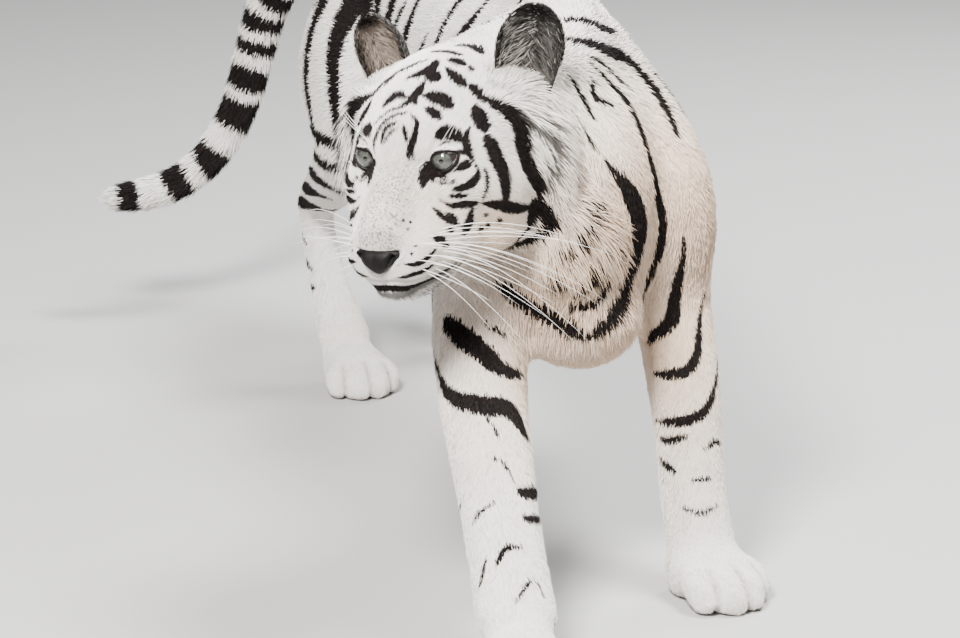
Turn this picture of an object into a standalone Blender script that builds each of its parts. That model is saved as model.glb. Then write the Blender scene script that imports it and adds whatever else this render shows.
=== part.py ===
"""A white tiger at life size, walking, as the solids of a still display model.

The animal faces -Y with its left side at +X, and its paws stand on the floor at z = 0. The body
is modelled as clay: tubes along the bones and balls for the muscles, fused by a voxel remesh and
smoothed. Boxes then part it, with thin gaps, into head, neck, trunk, legs, paws and tail. Ears,
eyes and the nose pad are solids of their own, set into recesses in the head.
"""

import math

import bmesh
import bpy
import numpy as np
from mathutils import Euler, Matrix, Vector

# ---------------------------------------------------------------- driving dimensions, in metres
GAP = 0.0004
CLAY_VOXEL = 0.0065
BODY_FACES = 4600
FACE_CARE = 0.03
TUBE_SIDES = 28
RINGS_PER_SPAN = 5

HEAD_AT = Vector((-0.320, -0.478, 0.651))
HEAD_YAW, HEAD_PITCH, HEAD_ROLL = (math.radians(a) for a in (39.0, 14.0, -4.0))
EYE_RADIUS = 0.0190
EYE_AT = Vector((0.0530, 0.0080, 0.0))
FLOOR_DEPTH = 0.05


def head_frame():
    """The head's own axes: x to its left, -y to the nose, z up, from the point between the eyes."""
    turn = Matrix.Rotation(-HEAD_YAW, 4, "Z")
    nod = Matrix.Rotation(HEAD_PITCH, 4, "X")
    tilt = Matrix.Rotation(HEAD_ROLL, 4, "Y")
    return Matrix.Translation(HEAD_AT) @ turn @ nod @ tilt


HEAD = head_frame()
WORLD = Matrix.Identity(4)


# ---------------------------------------------------------------- clay tools
def turned(at, turn=(0, 0, 0), size=(1, 1, 1), frame=WORLD):
    """A place in a frame, turned by degrees about x, y and z and scaled."""
    spin = Euler([math.radians(a) for a in turn]).to_matrix().to_4x4()
    return frame @ Matrix.Translation(at) @ spin @ Matrix.Diagonal((*size, 1))


def ball(clay, at, radii, turn=(0, 0, 0), frame=WORLD):
    """One muscle or bone end."""
    bmesh.ops.create_icosphere(clay, subdivisions=3, radius=1, matrix=turned(at, turn, radii, frame))


def pair(clay, at, radii, turn=(0, 0, 0), frame=HEAD):
    """The same ball on both sides of the midline."""
    ball(clay, at, radii, turn, frame)
    ball(clay, (-at[0], at[1], at[2]), radii, (turn[0], -turn[1], -turn[2]), frame)


def smooth_rows(rows, steps=RINGS_PER_SPAN):
    """Rows of numbers with Catmull-Rom rows between them."""
    rows = np.array(rows, float)
    padded = np.vstack([2 * rows[0] - rows[1], rows, 2 * rows[-1] - rows[-2]])
    made = []
    for a, b, c, d in zip(padded, padded[1:], padded[2:], padded[3:]):
        for t in np.arange(steps) / steps:
            bend = (2 * a - 5 * b + 4 * c - d) * t**2 + (3 * b - a - 3 * c + d) * t**3
            made.append(0.5 * (2 * b + (c - a) * t + bend))
    made.append(rows[-1])
    return np.array(made)


def tube(clay, stations, side=(1, 0, 0), frame=WORLD):
    """A limb or body length through stations (x, y, z, half width, half height).

    Width runs along side, and height across both side and the path.
    """
    rows = smooth_rows(stations)
    centres = rows[:, :3]
    paths = np.gradient(centres, axis=0)
    before = None
    for i, (centre, path) in enumerate(zip(centres, paths)):
        forward = Vector(path).normalized()
        across = Vector(side)
        across = (across - across.dot(forward) * forward).normalized()
        up = forward.cross(across)
        width, height = np.maximum(rows[i, 3:5], 0.002)
        place = Matrix.Identity(4)
        for k, axis in enumerate((across * width, up * height, forward)):
            place.col[k][:3] = axis
        place.translation = centre
        made = bmesh.ops.create_circle(
            clay, cap_ends=i in (0, len(rows) - 1), segments=TUBE_SIDES, radius=1, matrix=frame @ place
        )
        loop = {e for v in made["verts"] for e in v.link_edges}
        if before:
            bmesh.ops.bridge_loops(clay, edges=list(loop | before))
        before = loop


# ---------------------------------------------------------------- trunk, neck and tail
def add_trunk(clay):
    tube(
        clay,
        [
            (-0.055, -0.400, 0.500, 0.080, 0.130),
            (-0.042, -0.320, 0.530, 0.116, 0.190),
            (-0.022, -0.190, 0.550, 0.138, 0.215),
            (0.000, -0.020, 0.560, 0.146, 0.212),
            (0.012, 0.180, 0.565, 0.166, 0.212),
            (0.012, 0.380, 0.580, 0.170, 0.208),
            (0.000, 0.540, 0.608, 0.152, 0.192),
            (-0.015, 0.680, 0.638, 0.152, 0.180),
            (-0.028, 0.790, 0.652, 0.122, 0.136),
            (-0.034, 0.860, 0.668, 0.064, 0.074),
        ],
    )
    tube(
        clay,
        [
            (-0.050, -0.300, 0.745, 0.045, 0.050),
            (-0.022, -0.170, 0.762, 0.046, 0.072),
            (-0.004, -0.020, 0.742, 0.060, 0.072),
            (0.012, 0.200, 0.725, 0.085, 0.078),
            (0.012, 0.420, 0.730, 0.090, 0.078),
            (-0.008, 0.660, 0.735, 0.100, 0.090),
            (-0.024, 0.800, 0.715, 0.070, 0.070),
        ],
    )
    ball(clay, (-0.052, -0.335, 0.392), (0.092, 0.125, 0.082), (-8, 0, 0))


def add_neck(clay):
    tube(
        clay,
        [
            (0.000, -0.060, 0.620, 0.100, 0.160),
            (-0.042, -0.180, 0.642, 0.118, 0.168),
            (-0.105, -0.280, 0.652, 0.134, 0.154),
            (-0.185, -0.350, 0.655, 0.130, 0.138),
        ],
        side=(0.6, -0.6, 0),
    )
    ball(clay, (-0.080, -0.375, 0.520), (0.100, 0.095, 0.130))


TAIL = [
    (-0.030, 0.780, 0.690, 0.056, 0.060),
    (-0.050, 0.900, 0.694, 0.049, 0.053),
    (-0.090, 0.990, 0.676, 0.045, 0.047),
    (-0.148, 1.062, 0.630, 0.044, 0.044),
    (-0.192, 1.102, 0.555, 0.044, 0.044),
    (-0.216, 1.120, 0.460, 0.043, 0.043),
    (-0.244, 1.130, 0.365, 0.041, 0.041),
    (-0.295, 1.135, 0.285, 0.039, 0.039),
    (-0.370, 1.140, 0.238, 0.038, 0.038),
    (-0.450, 1.150, 0.226, 0.034, 0.034),
]


def add_tail(clay):
    tube(clay, TAIL, side=(0.7, -0.7, 0))
    ball(clay, TAIL[-1][:3], (0.038, 0.033, 0.033), (0, 0, -7))


# ---------------------------------------------------------------- legs and paws
def add_foreleg(clay, blade, shoulder, elbow, forearm, wrist, knuckles, width):
    tube(clay, [(*blade, 0.036, 0.070), (*shoulder, 0.072, 0.110), (*elbow, 1.12 * width, 0.086)])
    ball(clay, blade, (0.036, 0.075, 0.050))
    ball(clay, (elbow[0], elbow[1] + 0.035, elbow[2] + 0.020), (width * 0.95, 0.070, 0.075))
    tube(
        clay,
        [
            (*elbow, 1.12 * width, 0.084),
            (*forearm, 1.06 * width, 0.066),
            (*wrist, 0.90 * width, 0.051),
            (*knuckles, 0.95 * width, 0.042),
        ],
    )
    ball(clay, (wrist[0], wrist[1] + 0.018, wrist[2] - 0.004), (0.90 * width, 0.045, 0.040))


def add_hindleg(clay, hip, thigh, knee, shin, hock, cannon, knuckles):
    tube(clay, [(*hip, 0.070, 0.130), (*thigh, 0.082, 0.135), (*knee, 0.062, 0.086)])
    ball(clay, knee, (0.062, 0.078, 0.082))
    tube(clay, [(*knee, 0.060, 0.084), (*shin, 0.048, 0.062), (*hock, 0.036, 0.042)])
    tube(clay, [(*hock, 0.037, 0.038), (*cannon, 0.040, 0.034), (*knuckles, 0.048, 0.036)])
    ball(clay, (hock[0], hock[1] + 0.014, hock[2] + 0.010), (0.032, 0.036, 0.046), (-30, 0, 0))
    ball(clay, (hip[0] * 0.8, hip[1] + 0.080, hip[2] - 0.040), (0.085, 0.090, 0.110))
    calf = Vector(knee).lerp(Vector(shin), 0.45)
    ball(clay, calf + Vector((0, 0.010, 0.006)), (0.050, 0.100, 0.068), (-22, 0, 0))


def add_paw(clay, at, heading, size):
    """A paw that stands at a point on the floor, its toes turned by degrees from -Y."""
    place = turned(at, (0, 0, heading), (size, size, size))
    ball(clay, (0, 0.012, 0.040), (0.056, 0.064, 0.046), frame=place)
    ball(clay, (0, 0.030, 0.018), (0.048, 0.048, 0.026), frame=place)
    for x, y, wide in ((0.048, -0.024, 0.022), (0.017, -0.048, 0.0225)):
        for side in (-1, 1):
            splay = -15 * side * x / 0.048
            ball(clay, (side * x, y, 0.034), (wide, 0.038, 0.028), (14, 0, -splay), place)
            ball(clay, (side * x, y - 0.018, 0.015), (wide, 0.028, 0.021), (0, 0, -splay), place)


FORELEGS = {
    "right": dict(
        blade=(-0.072, -0.150, 0.715),
        shoulder=(-0.138, -0.285, 0.555),
        elbow=(-0.194, -0.345, 0.405),
        forearm=(-0.208, -0.450, 0.290),
        wrist=(-0.208, -0.565, 0.145),
        knuckles=(-0.212, -0.640, 0.066),
        width=0.063,
    ),
    "left": dict(
        blade=(0.042, -0.130, 0.715),
        shoulder=(0.086, -0.260, 0.550),
        elbow=(0.100, -0.255, 0.405),
        forearm=(0.106, -0.315, 0.280),
        wrist=(0.108, -0.362, 0.135),
        knuckles=(0.114, -0.385, 0.066),
        width=0.055,
    ),
}
HINDLEGS = {
    "right": dict(
        hip=(-0.116, 0.690, 0.660),
        thigh=(-0.158, 0.640, 0.545),
        knee=(-0.162, 0.560, 0.430),
        shin=(-0.166, 0.715, 0.345),
        hock=(-0.172, 0.850, 0.270),
        cannon=(-0.160, 0.795, 0.160),
        knuckles=(-0.142, 0.735, 0.064),
    ),
    "left": dict(
        hip=(0.062, 0.710, 0.660),
        thigh=(0.098, 0.690, 0.540),
        knee=(0.112, 0.630, 0.425),
        shin=(0.110, 0.790, 0.355),
        hock=(0.104, 0.935, 0.285),
        cannon=(0.102, 0.905, 0.170),
        knuckles=(0.104, 0.870, 0.064),
    ),
}
PAWS = {
    "forepaw_right": ((-0.216, -0.690, 0), -6, 1.00),
    "forepaw_left": ((0.118, -0.412, 0), 24, 1.00),
    "hindpaw_right": ((-0.138, 0.690, 0), 8, 0.94),
    "hindpaw_left": ((0.106, 0.828, 0), 6, 0.94),
}


# ---------------------------------------------------------------- head
def add_head(clay):
    tube(
        clay,
        [
            (0, 0.230, -0.060, 0.095, 0.090),
            (0, 0.190, -0.025, 0.122, 0.105),
            (0, 0.130, -0.010, 0.128, 0.102),
            (0, 0.070, -0.020, 0.116, 0.090),
            (0, 0.020, -0.040, 0.092, 0.076),
            (0, -0.020, -0.058, 0.064, 0.062),
            (0, -0.060, -0.072, 0.052, 0.050),
            (0, -0.095, -0.082, 0.044, 0.040),
        ],
        frame=HEAD,
    )
    ball(clay, (0, 0.115, 0.030), (0.086, 0.100, 0.074), frame=HEAD)
    ball(clay, (0, 0.050, 0.020), (0.074, 0.066, 0.054), frame=HEAD)
    pair(clay, (0.046, 0.030, 0.022), (0.038, 0.036, 0.022), (0, 18, 0))
    tube(
        clay,
        [
            (0, 0.050, 0.010, 0.046, 0.028),
            (0, 0.000, -0.008, 0.038, 0.026),
            (0, -0.060, -0.036, 0.034, 0.028),
            (0, -0.112, -0.060, 0.033, 0.024),
        ],
        frame=HEAD,
    )
    pair(clay, (0.031, -0.062, -0.088), (0.035, 0.058, 0.038), (12, 0, 6))
    pair(clay, (0.047, -0.020, -0.096), (0.034, 0.048, 0.038), (8, 0, 6))
    pair(clay, (0.026, -0.094, -0.096), (0.030, 0.029, 0.026), (12, 0, 0))
    ball(clay, (0, -0.100, -0.100), (0.024, 0.022, 0.022), frame=HEAD)
    ball(clay, (0, -0.086, -0.137), (0.033, 0.028, 0.023), frame=HEAD)
    pair(clay, (0.034, -0.036, -0.122), (0.032, 0.052, 0.024))
    tube(
        clay,
        [
            (0, -0.084, -0.136, 0.032, 0.024),
            (0, -0.040, -0.140, 0.046, 0.027),
            (0, 0.040, -0.132, 0.074, 0.038),
            (0, 0.120, -0.115, 0.100, 0.055),
        ],
        frame=HEAD,
    )
    pair(clay, (0.064, 0.024, -0.040), (0.042, 0.050, 0.034), (-10, 0, 16))
    pair(clay, (0.052, 0.002, -0.082), (0.042, 0.060, 0.052))
    pair(clay, (0.088, 0.075, -0.068), (0.046, 0.068, 0.074))
    pair(clay, (0.078, 0.070, -0.112), (0.048, 0.072, 0.050))
    pair(clay, (0.110, 0.140, -0.060), (0.044, 0.054, 0.088))
    pair(clay, (0.106, 0.165, -0.118), (0.046, 0.060, 0.092), (-14, 0, 0))
    pair(clay, (0.092, 0.154, 0.022), (0.040, 0.042, 0.040))


def press(obj, at, reach, move, frame=HEAD):
    """Moves the clay round a point, most in the middle and fading out at the reach."""
    centre, shift = frame @ Vector(at), frame.to_3x3() @ Vector(move)
    for vert in obj.data.vertices:
        near = 1 - (vert.co - centre).length_squared / reach**2
        if near > 0:
            vert.co += shift * near**2 * (3 - 2 * near)


def shape_face(body):
    """Hollows for the eyes and their inner corners, and the split of the lip."""
    for side in (-1, 1):
        press(body, (0.053 * side, -0.014, -0.002), 0.030, (0, 0.010, 0))
        press(body, (0.035 * side, -0.010, -0.010), 0.020, (0, 0.007, 0))
    press(body, (0, -0.118, -0.100), 0.016, (0, 0.008, 0))


def eye(side):
    ball_of_eye = bmesh.new()
    place = turned((EYE_AT.x * side, EYE_AT.y, EYE_AT.z), (90, 0, 0), frame=HEAD)
    bmesh.ops.create_uvsphere(ball_of_eye, u_segments=16, v_segments=9, radius=EYE_RADIUS, matrix=place)
    return ball_of_eye


def nose_pad():
    """A broad nose pad that narrows to the lip, in its own place on the head."""
    pad = bmesh.new()
    bmesh.ops.create_uvsphere(pad, u_segments=14, v_segments=8, radius=1)
    for vert in pad.verts:
        x, y, z = vert.co
        width = 0.0315 * (1 if z > 0 else 1 - 0.72 * abs(z))
        hollow = 0.004 * math.exp(-(((abs(x) - 0.55) / 0.2) ** 2) - ((z + 0.05) / 0.35) ** 2)
        vert.co = HEAD @ Vector((x * width, -0.111 + 0.0170 * y + hollow + 0.002 * z, -0.080 + 0.0205 * z))
    return pad


def ear(side):
    """A rounded cup, closed at the back and open to the front and side; the right one is lowered."""
    wide, tall, wall, wrap = 0.046, 0.135 if side > 0 else 0.120, 0.0065, math.radians(74)
    across = 10
    outline = [(0.17 * j, 0.80 + 0.055 * j) for j in range(4)]
    outline += [(0.51 + 0.49 * math.sin(a), math.cos(a)) for a in np.radians((16, 32, 47, 61, 74))]
    up = len(outline) - 1
    cup = bmesh.new()
    sheets = []
    for depth in (0, 1):
        sheet = []
        for v, share in outline:
            half = wide * share
            row = []
            for i in range(across + 1):
                u = 2 * i / across - 1
                thin = wall * (1 - 0.45 * abs(u)) * (1 - 0.35 * v) * depth
                bow = (half * 0.95 - thin) * math.cos(u * wrap) - half * 0.45
                x = (half - thin) * math.sin(u * wrap) / math.sin(wrap)
                row.append(cup.verts.new((x * side, bow - 0.012 * v * v, tall * v)))
            sheet.append(row)
        sheets.append(sheet)
    back, front = sheets
    for j in range(up):
        for i in range(across):
            for sheet in (back, front):
                cup.faces.new((sheet[j][i], sheet[j][i + 1], sheet[j + 1][i + 1], sheet[j + 1][i]))
    edge = [(j, 0) for j in range(up)] + [(up, i) for i in range(across)]
    edge += [(j, across) for j in range(up, 0, -1)] + [(0, i) for i in range(across, 0, -1)]
    for (a, b), (c, d) in zip(edge, edge[1:] + edge[:1]):
        cup.faces.new((back[a][b], back[c][d], front[c][d], front[a][b]))
    bmesh.ops.recalc_face_normals(cup, faces=cup.faces)
    at, turn = (0.092, 0.160, 0.014), (-8, 20, 24)
    if side < 0:
        at, turn = (-0.080, 0.160, 0.010), (-10, -20, -15)
    cup.transform(turned(at, turn, frame=HEAD))
    return cup


# ---------------------------------------------------------------- from clay to solids
def link(name, clay, colour=(0.8, 0.8, 0.8), roughness=0.8):
    """Objects that stay are given their own material."""
    mesh = bpy.data.meshes.new(name)
    clay.to_mesh(mesh)
    obj = bpy.data.objects.new(name, mesh)
    bpy.context.scene.collection.objects.link(obj)
    coat = bpy.data.materials.new(name)
    coat.use_nodes = True
    shader = coat.node_tree.nodes["Principled BSDF"]
    shader.inputs["Base Color"].default_value = (*colour, 1)
    shader.inputs["Roughness"].default_value = roughness
    mesh.materials.append(coat)
    return obj


def finish_modifiers(obj):
    graph = bpy.context.evaluated_depsgraph_get()
    mesh = bpy.data.meshes.new_from_object(obj.evaluated_get(graph), depsgraph=graph)
    obj.modifiers.clear()
    obj.data = mesh


def box(low, high, frame=WORLD):
    """A plain box between two corners of a frame."""
    low, high = Vector(low), Vector(high)
    made = bmesh.new()
    bmesh.ops.create_cube(made, size=1, matrix=turned((low + high) / 2, size=high - low, frame=frame))
    return made


def grown(clay):
    """The same shape with every face a gap further out."""
    made = clay.copy()
    made.normal_update()
    for vert in made.verts:
        vert.co += vert.normal * vert.calc_shell_factor() * GAP
    return made


def combine(obj, tool, operation):
    cutter = link("cutter", tool)
    cutter.display_type = "WIRE"
    cutter.hide_render = True
    cut = obj.modifiers.new("cut", "BOOLEAN")
    cut.operation, cut.solver, cut.object = operation, "EXACT", cutter
    finish_modifiers(obj)
    bpy.data.objects.remove(cutter)


def part_off(rest, name, cell, colour):
    """Gives what is in the cell a name, and leaves the rest a gap away from it."""
    piece = link(name, bmesh.new(), colour)
    piece.data = rest.data.copy()
    piece.data.materials.clear()
    piece.data.materials.append(bpy.data.materials[name])
    combine(piece, cell, "INTERSECT")
    combine(rest, grown(cell), "DIFFERENCE")
    return piece


def set_into(head, name, solid, colour, roughness=0.8):
    """A solid of its own in a recess of the head, a gap away from it all round."""
    bmesh.ops.triangulate(solid, faces=solid.faces)
    combine(head, grown(solid), "DIFFERENCE")
    link(name, solid, colour, roughness)


def ramp(value, low, high):
    t = min(1, max(0, (value - low) / (high - low)))
    return t * t * (3 - 2 * t)


def fuse(clay):
    """The clay as one closed skin, smoothed least on the face and the paws."""
    body = link("trunk", clay, (0.86, 0.84, 0.80))
    remesh = body.modifiers.new("fuse", "REMESH")
    remesh.mode = "VOXEL"
    remesh.voxel_size = CLAY_VOXEL
    finish_modifiers(body)
    plain = body.vertex_groups.new(name="plain")
    face = HEAD @ Vector((0, 0.03, -0.04))
    for vert in body.data.vertices:
        weight = ramp((vert.co - face).length, 0.15, 0.30) * ramp(vert.co.z, 0.07, 0.18)
        plain.add([vert.index], 0.1 + 0.9 * weight, "REPLACE")
    for group, repeats in (("", 7), ("plain", 26)):
        smooth = body.modifiers.new("smooth", "SMOOTH")
        smooth.factor, smooth.iterations, smooth.vertex_group = 0.5, repeats, group
    finish_modifiers(body)
    shape_face(body)
    triangles = sum(len(p.vertices) - 2 for p in body.data.polygons)
    thin = body.modifiers.new("thin", "DECIMATE")
    thin.ratio = BODY_FACES / triangles
    thin.vertex_group, thin.vertex_group_factor = "plain", FACE_CARE
    finish_modifiers(body)
    body.vertex_groups.clear()
    return body


def leg_cell(side, inner, lean_from, outer, top, front, back):
    """All outside a wall that stands at x = inner and leans outwards above a height."""
    made = bmesh.new()
    profile = ((0.5, -0.1), (inner, -0.1), (inner, lean_from), (outer, top), (0.5, top))
    rows = [[made.verts.new((side * x, y, z)) for x, z in profile] for y in (front, back)]
    for row in rows:
        made.faces.new(row)
    for i in range(len(profile)):
        j = (i + 1) % len(profile)
        made.faces.new((rows[0][i], rows[0][j], rows[1][j], rows[1][i]))
    bmesh.ops.recalc_face_normals(made, faces=made.faces)
    return made


def stand_at_origin():
    """The middle of the whole animal's box over the origin, every solid under one empty."""
    solids = [obj for obj in bpy.data.objects if obj.type == "MESH"]
    corners = np.array([v.co for obj in solids for v in obj.data.vertices])
    middle = (corners.min(axis=0) + corners.max(axis=0)) / 2
    tiger = bpy.data.objects.new("white_tiger", None)
    bpy.context.scene.collection.objects.link(tiger)
    for obj in solids:
        obj.data.transform(Matrix.Translation((-middle[0], -middle[1], 0)))
        obj.parent = tiger


def main():
    for obj in list(bpy.data.objects):
        bpy.data.objects.remove(obj)
    clay = bmesh.new()
    add_trunk(clay)
    add_neck(clay)
    add_tail(clay)
    for leg in FORELEGS.values():
        add_foreleg(clay, **leg)
    for leg in HINDLEGS.values():
        add_hindleg(clay, **leg)
    for at, heading, size in PAWS.values():
        add_paw(clay, at, heading, size)
    add_head(clay)
    body = fuse(clay)
    combine(body, box((-1, -2, -FLOOR_DEPTH), (1, 2, 0)), "DIFFERENCE")

    white = (0.88, 0.86, 0.82)
    head = part_off(body, "head", box((-0.3, -0.3, -0.215), (0.3, 0.205, 0.3), HEAD), white)
    legs = {
        "foreleg_right": leg_cell(-1, 0.085, 0.36, 0.205, 0.68, -0.90, -0.14),
        "foreleg_left": leg_cell(1, 0.030, 0.34, 0.160, 0.64, -0.60, -0.10),
        "hindleg_right": leg_cell(-1, 0.065, 0.45, 0.225, 0.80, 0.44, 1.00),
        "hindleg_left": leg_cell(1, 0.030, 0.45, 0.170, 0.80, 0.50, 1.03),
    }
    for name, cell in legs.items():
        leg = part_off(body, name, cell, white)
        paw = name.replace("leg", "paw")
        part_off(leg, paw, box((-1, -2, -0.1), (1, 2, 0.095)), white)
    neck_way = turned((-0.045, -0.205, 0.5), (0, 0, -38))
    part_off(body, "neck", box((-0.4, -0.5, -0.4), (0.4, 0, 0.6), neck_way), white)
    part_off(body, "tail_tip", box((-1, 1.0, 0), (-0.262, 1.4, 1)), white)
    part_off(body, "tail_middle", box((-1, 1.0, 0), (1, 1.4, 0.60)), white)
    part_off(body, "tail_base", box((-1, 0.868, 0), (1, 1.4, 1)), white)

    for side, name in ((1, "left"), (-1, "right")):
        set_into(head, "eye_" + name, eye(side), (0.45, 0.52, 0.55), 0.1)
        set_into(head, "ear_" + name, ear(side), (0.45, 0.42, 0.40))
    set_into(head, "nose", nose_pad(), (0.16, 0.12, 0.11), 0.5)
    stand_at_origin()


main()
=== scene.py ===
"""A white tiger as a still museum model: one skin, its coat in tufts, eyes, nose and whiskers.

Body places are in the tiger's own frame, which faces -Y with its left side at +X. Head places are
in the head's frame: x to its left, -y to the nose, z up, from the point between the eyes. Marks
are strokes laid on the skin from three kinds of charts: bearings in degrees from a centre, angles
round the spine, and heights and angles round a leg.
"""

import math

import bmesh
import bpy
import numpy as np
from mathutils import Matrix, Vector
from mathutils.bvhtree import BVHTree


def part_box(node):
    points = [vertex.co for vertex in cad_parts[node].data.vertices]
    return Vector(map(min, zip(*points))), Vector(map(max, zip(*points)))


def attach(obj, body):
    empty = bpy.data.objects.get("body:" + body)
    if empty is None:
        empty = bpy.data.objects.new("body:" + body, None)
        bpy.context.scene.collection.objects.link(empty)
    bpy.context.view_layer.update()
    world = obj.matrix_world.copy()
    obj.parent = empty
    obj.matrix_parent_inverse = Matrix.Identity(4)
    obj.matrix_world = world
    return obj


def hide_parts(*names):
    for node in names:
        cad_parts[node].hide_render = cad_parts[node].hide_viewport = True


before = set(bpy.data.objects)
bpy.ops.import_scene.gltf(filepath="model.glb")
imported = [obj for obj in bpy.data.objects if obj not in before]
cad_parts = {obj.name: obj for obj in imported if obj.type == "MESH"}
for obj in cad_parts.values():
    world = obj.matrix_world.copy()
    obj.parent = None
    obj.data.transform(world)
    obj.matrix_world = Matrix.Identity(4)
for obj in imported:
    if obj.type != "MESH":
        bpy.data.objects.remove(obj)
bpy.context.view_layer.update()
RANDOM = np.random.default_rng(7)

# ---------------------------------------------------------------- sizes, in metres
CLAY_VOXEL = 0.0095
EYE_RADIUS = 0.0190
EYE_AT = Vector((0.0530, 0.0080, 0.0))
NOSE_AT = Vector((-0.0008, -0.1110, -0.0850))
MOUTH_DEPTH, MOUTH_HALF = 0.0042, 0.0026
LIP_SPLIT_DEPTH, LIP_SPLIT_HALF = 0.0030, 0.0022
CLEFT_DEPTH, CLEFT_HALF = 0.0050, 0.0042
LID_BEAD = 0.00085
CORNEA_RADIUS, CORNEA_RISE = 0.0125, 0.0013
EAR_HALF = 0.046
WHISKER_THICK, BROW_HAIR_THICK = 0.00045, 0.00035

# The lids' opening from the eye's middle, in degrees: its middle, half its width, its corners' heights.
LIDS_MIDDLE, LIDS_HALF, INNER_UP, OUTER_UP = 3, 65, -12, 2

# The coat: all tufts, tufts in one piece, and the length from which a tuft's colour is read off the skin.
TUFT_BUDGET = 350000
PIECE_TUFTS = 64000
LONG_TUFT = 0.013
SOLE_TOP = 0.004

# Where each paw stands, its turn in degrees and its size.
PAWS = {
    "forepaw_right": ((-0.216, -0.690, 0), -6, 1.00),
    "forepaw_left": ((0.118, -0.412, 0), 24, 1.00),
    "hindpaw_right": ((-0.138, 0.690, 0), 8, 0.94),
    "hindpaw_left": ((0.106, 0.828, 0), 6, 0.94),
}

FLESH = ["head", "neck", "trunk", "foreleg_left", "foreleg_right", "forepaw_left", "forepaw_right"]
FLESH += ["hindleg_left", "hindleg_right", "hindpaw_left", "hindpaw_right"]
FLESH += ["tail_base", "tail_middle", "tail_tip"]


def middle(name):
    low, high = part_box(name)
    return (low + high) / 2


def turned(degrees, axis):
    return Matrix.Rotation(math.radians(degrees), 4, axis)


def head_frame():
    spin = turned(-39, "Z") @ turned(14, "X") @ turned(-4, "Y")
    between = (middle("eye_left") + middle("eye_right")) / 2
    return Matrix.Translation(between - spin @ Vector((0, EYE_AT.y, 0))) @ spin


HEAD = head_frame()
OWN = Matrix.Translation(HEAD.translation - Vector((-0.320, -0.478, 0.651)))


def local(points, place):
    """Points seen from a place's own axes."""
    turn = np.array(place.inverted())
    return points @ turn[:3, :3].T + turn[:3, 3]


def ramp(value, low, high):
    """0 below low and 1 above high, smooth between."""
    t = np.clip((value - low) / (high - low), 0, 1)
    return t * t * (3 - 2 * t)


def toe_clefts(points):
    """How near points lie to the clefts between the toes, from 0 to 1."""
    found = np.zeros(len(points))
    for at, heading, size in PAWS.values():
        paw = OWN @ Matrix.Translation(at) @ turned(heading, "Z")
        seen = local(points, paw) / size
        front = ramp(-seen[:, 1], 0.022, 0.050) * (np.abs(seen[:, 0]) < 0.09) * (seen[:, 1] > -0.14)
        front = front * (1 - ramp(seen[:, 2], 0.050, 0.066))
        for lean in (-1, 0, 1):
            middle_x = lean * (0.0330 + 0.20 * np.maximum(-seen[:, 1] - 0.02, 0))
            found = np.maximum(found, front * np.exp(-(((seen[:, 0] - middle_x) / CLEFT_HALF) ** 2)))
    return found


def unit(vectors):
    return vectors / np.maximum(np.linalg.norm(vectors, axis=1, keepdims=True), 1e-9)


def across(vectors, normals):
    """What is left of vectors along the surface, at unit length."""
    return unit(vectors - (vectors * normals).sum(1, keepdims=True) * normals)


def waves(points, size, seed):
    """Smooth wandering values from -1 to 1 over a length of about size."""
    pick = np.random.default_rng(seed)
    total = np.zeros(len(points))
    for _ in range(5):
        way = pick.normal(size=3)
        way *= 2 * math.pi / (size * np.linalg.norm(way)) * pick.uniform(0.6, 1.5)
        total += np.sin(points @ way + pick.uniform(0, 6.3))
    return total / 3.2


def bell(gap, reach):
    """1 where the gap is nothing, falling off smoothly over the reach."""
    return np.exp(-((gap / reach) ** 2))


def share_and_gap(points, a, b, low=0):
    """How far from a to b the points lie, as a share of at least low, and how far from that line."""
    way = b - a
    t = np.clip(((points - a) @ way) / max(way @ way, 1e-12), low, 1)
    return t, np.linalg.norm(points - a - t[:, None] * way, axis=1)


# ---------------------------------------------------------------- materials
# The coat's colours, each as the two ends of a mottled mix, and the grey-brown that the coat's grey streaks
# and its painted shade mix towards.
WHITE = (0.86, 0.85, 0.825), (0.79, 0.775, 0.745)
CREAM = (0.60, 0.42, 0.28), (0.72, 0.55, 0.41)
BLACK = (0.005, 0.004, 0.004), (0.017, 0.011, 0.008)
GREY_AND_SHADE_BROWN = (0.34, 0.30, 0.26)


class Value:
    """A socket that takes part in sums."""

    def __init__(self, graph, socket):
        self.graph, self.socket = graph, socket

    def joined(self, kind, *others, swap=False):
        terms = [self, *others]
        if swap:
            terms[0], terms[1] = terms[1], terms[0]
        return self.graph.node("ShaderNodeMath", {"operation": kind}, dict(enumerate(terms)))

    def __add__(self, other):
        return self.joined("ADD", other)

    def __sub__(self, other):
        return self.joined("SUBTRACT", other)

    def __rsub__(self, other):
        return self.joined("SUBTRACT", other, swap=True)

    def __mul__(self, other):
        return self.joined("MULTIPLY", other)

    __radd__, __rmul__ = __add__, __mul__

    def step(self, low, high):
        """0 below low and 1 above high, smooth between."""
        names = {"Value": self, "From Min": low, "From Max": high}
        return self.graph.node("ShaderNodeMapRange", {"interpolation_type": "SMOOTHSTEP"}, names)

    def at_least(self, other):
        return self.joined("MAXIMUM", other)

    def at_most(self, other):
        return self.joined("MINIMUM", other)


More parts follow.
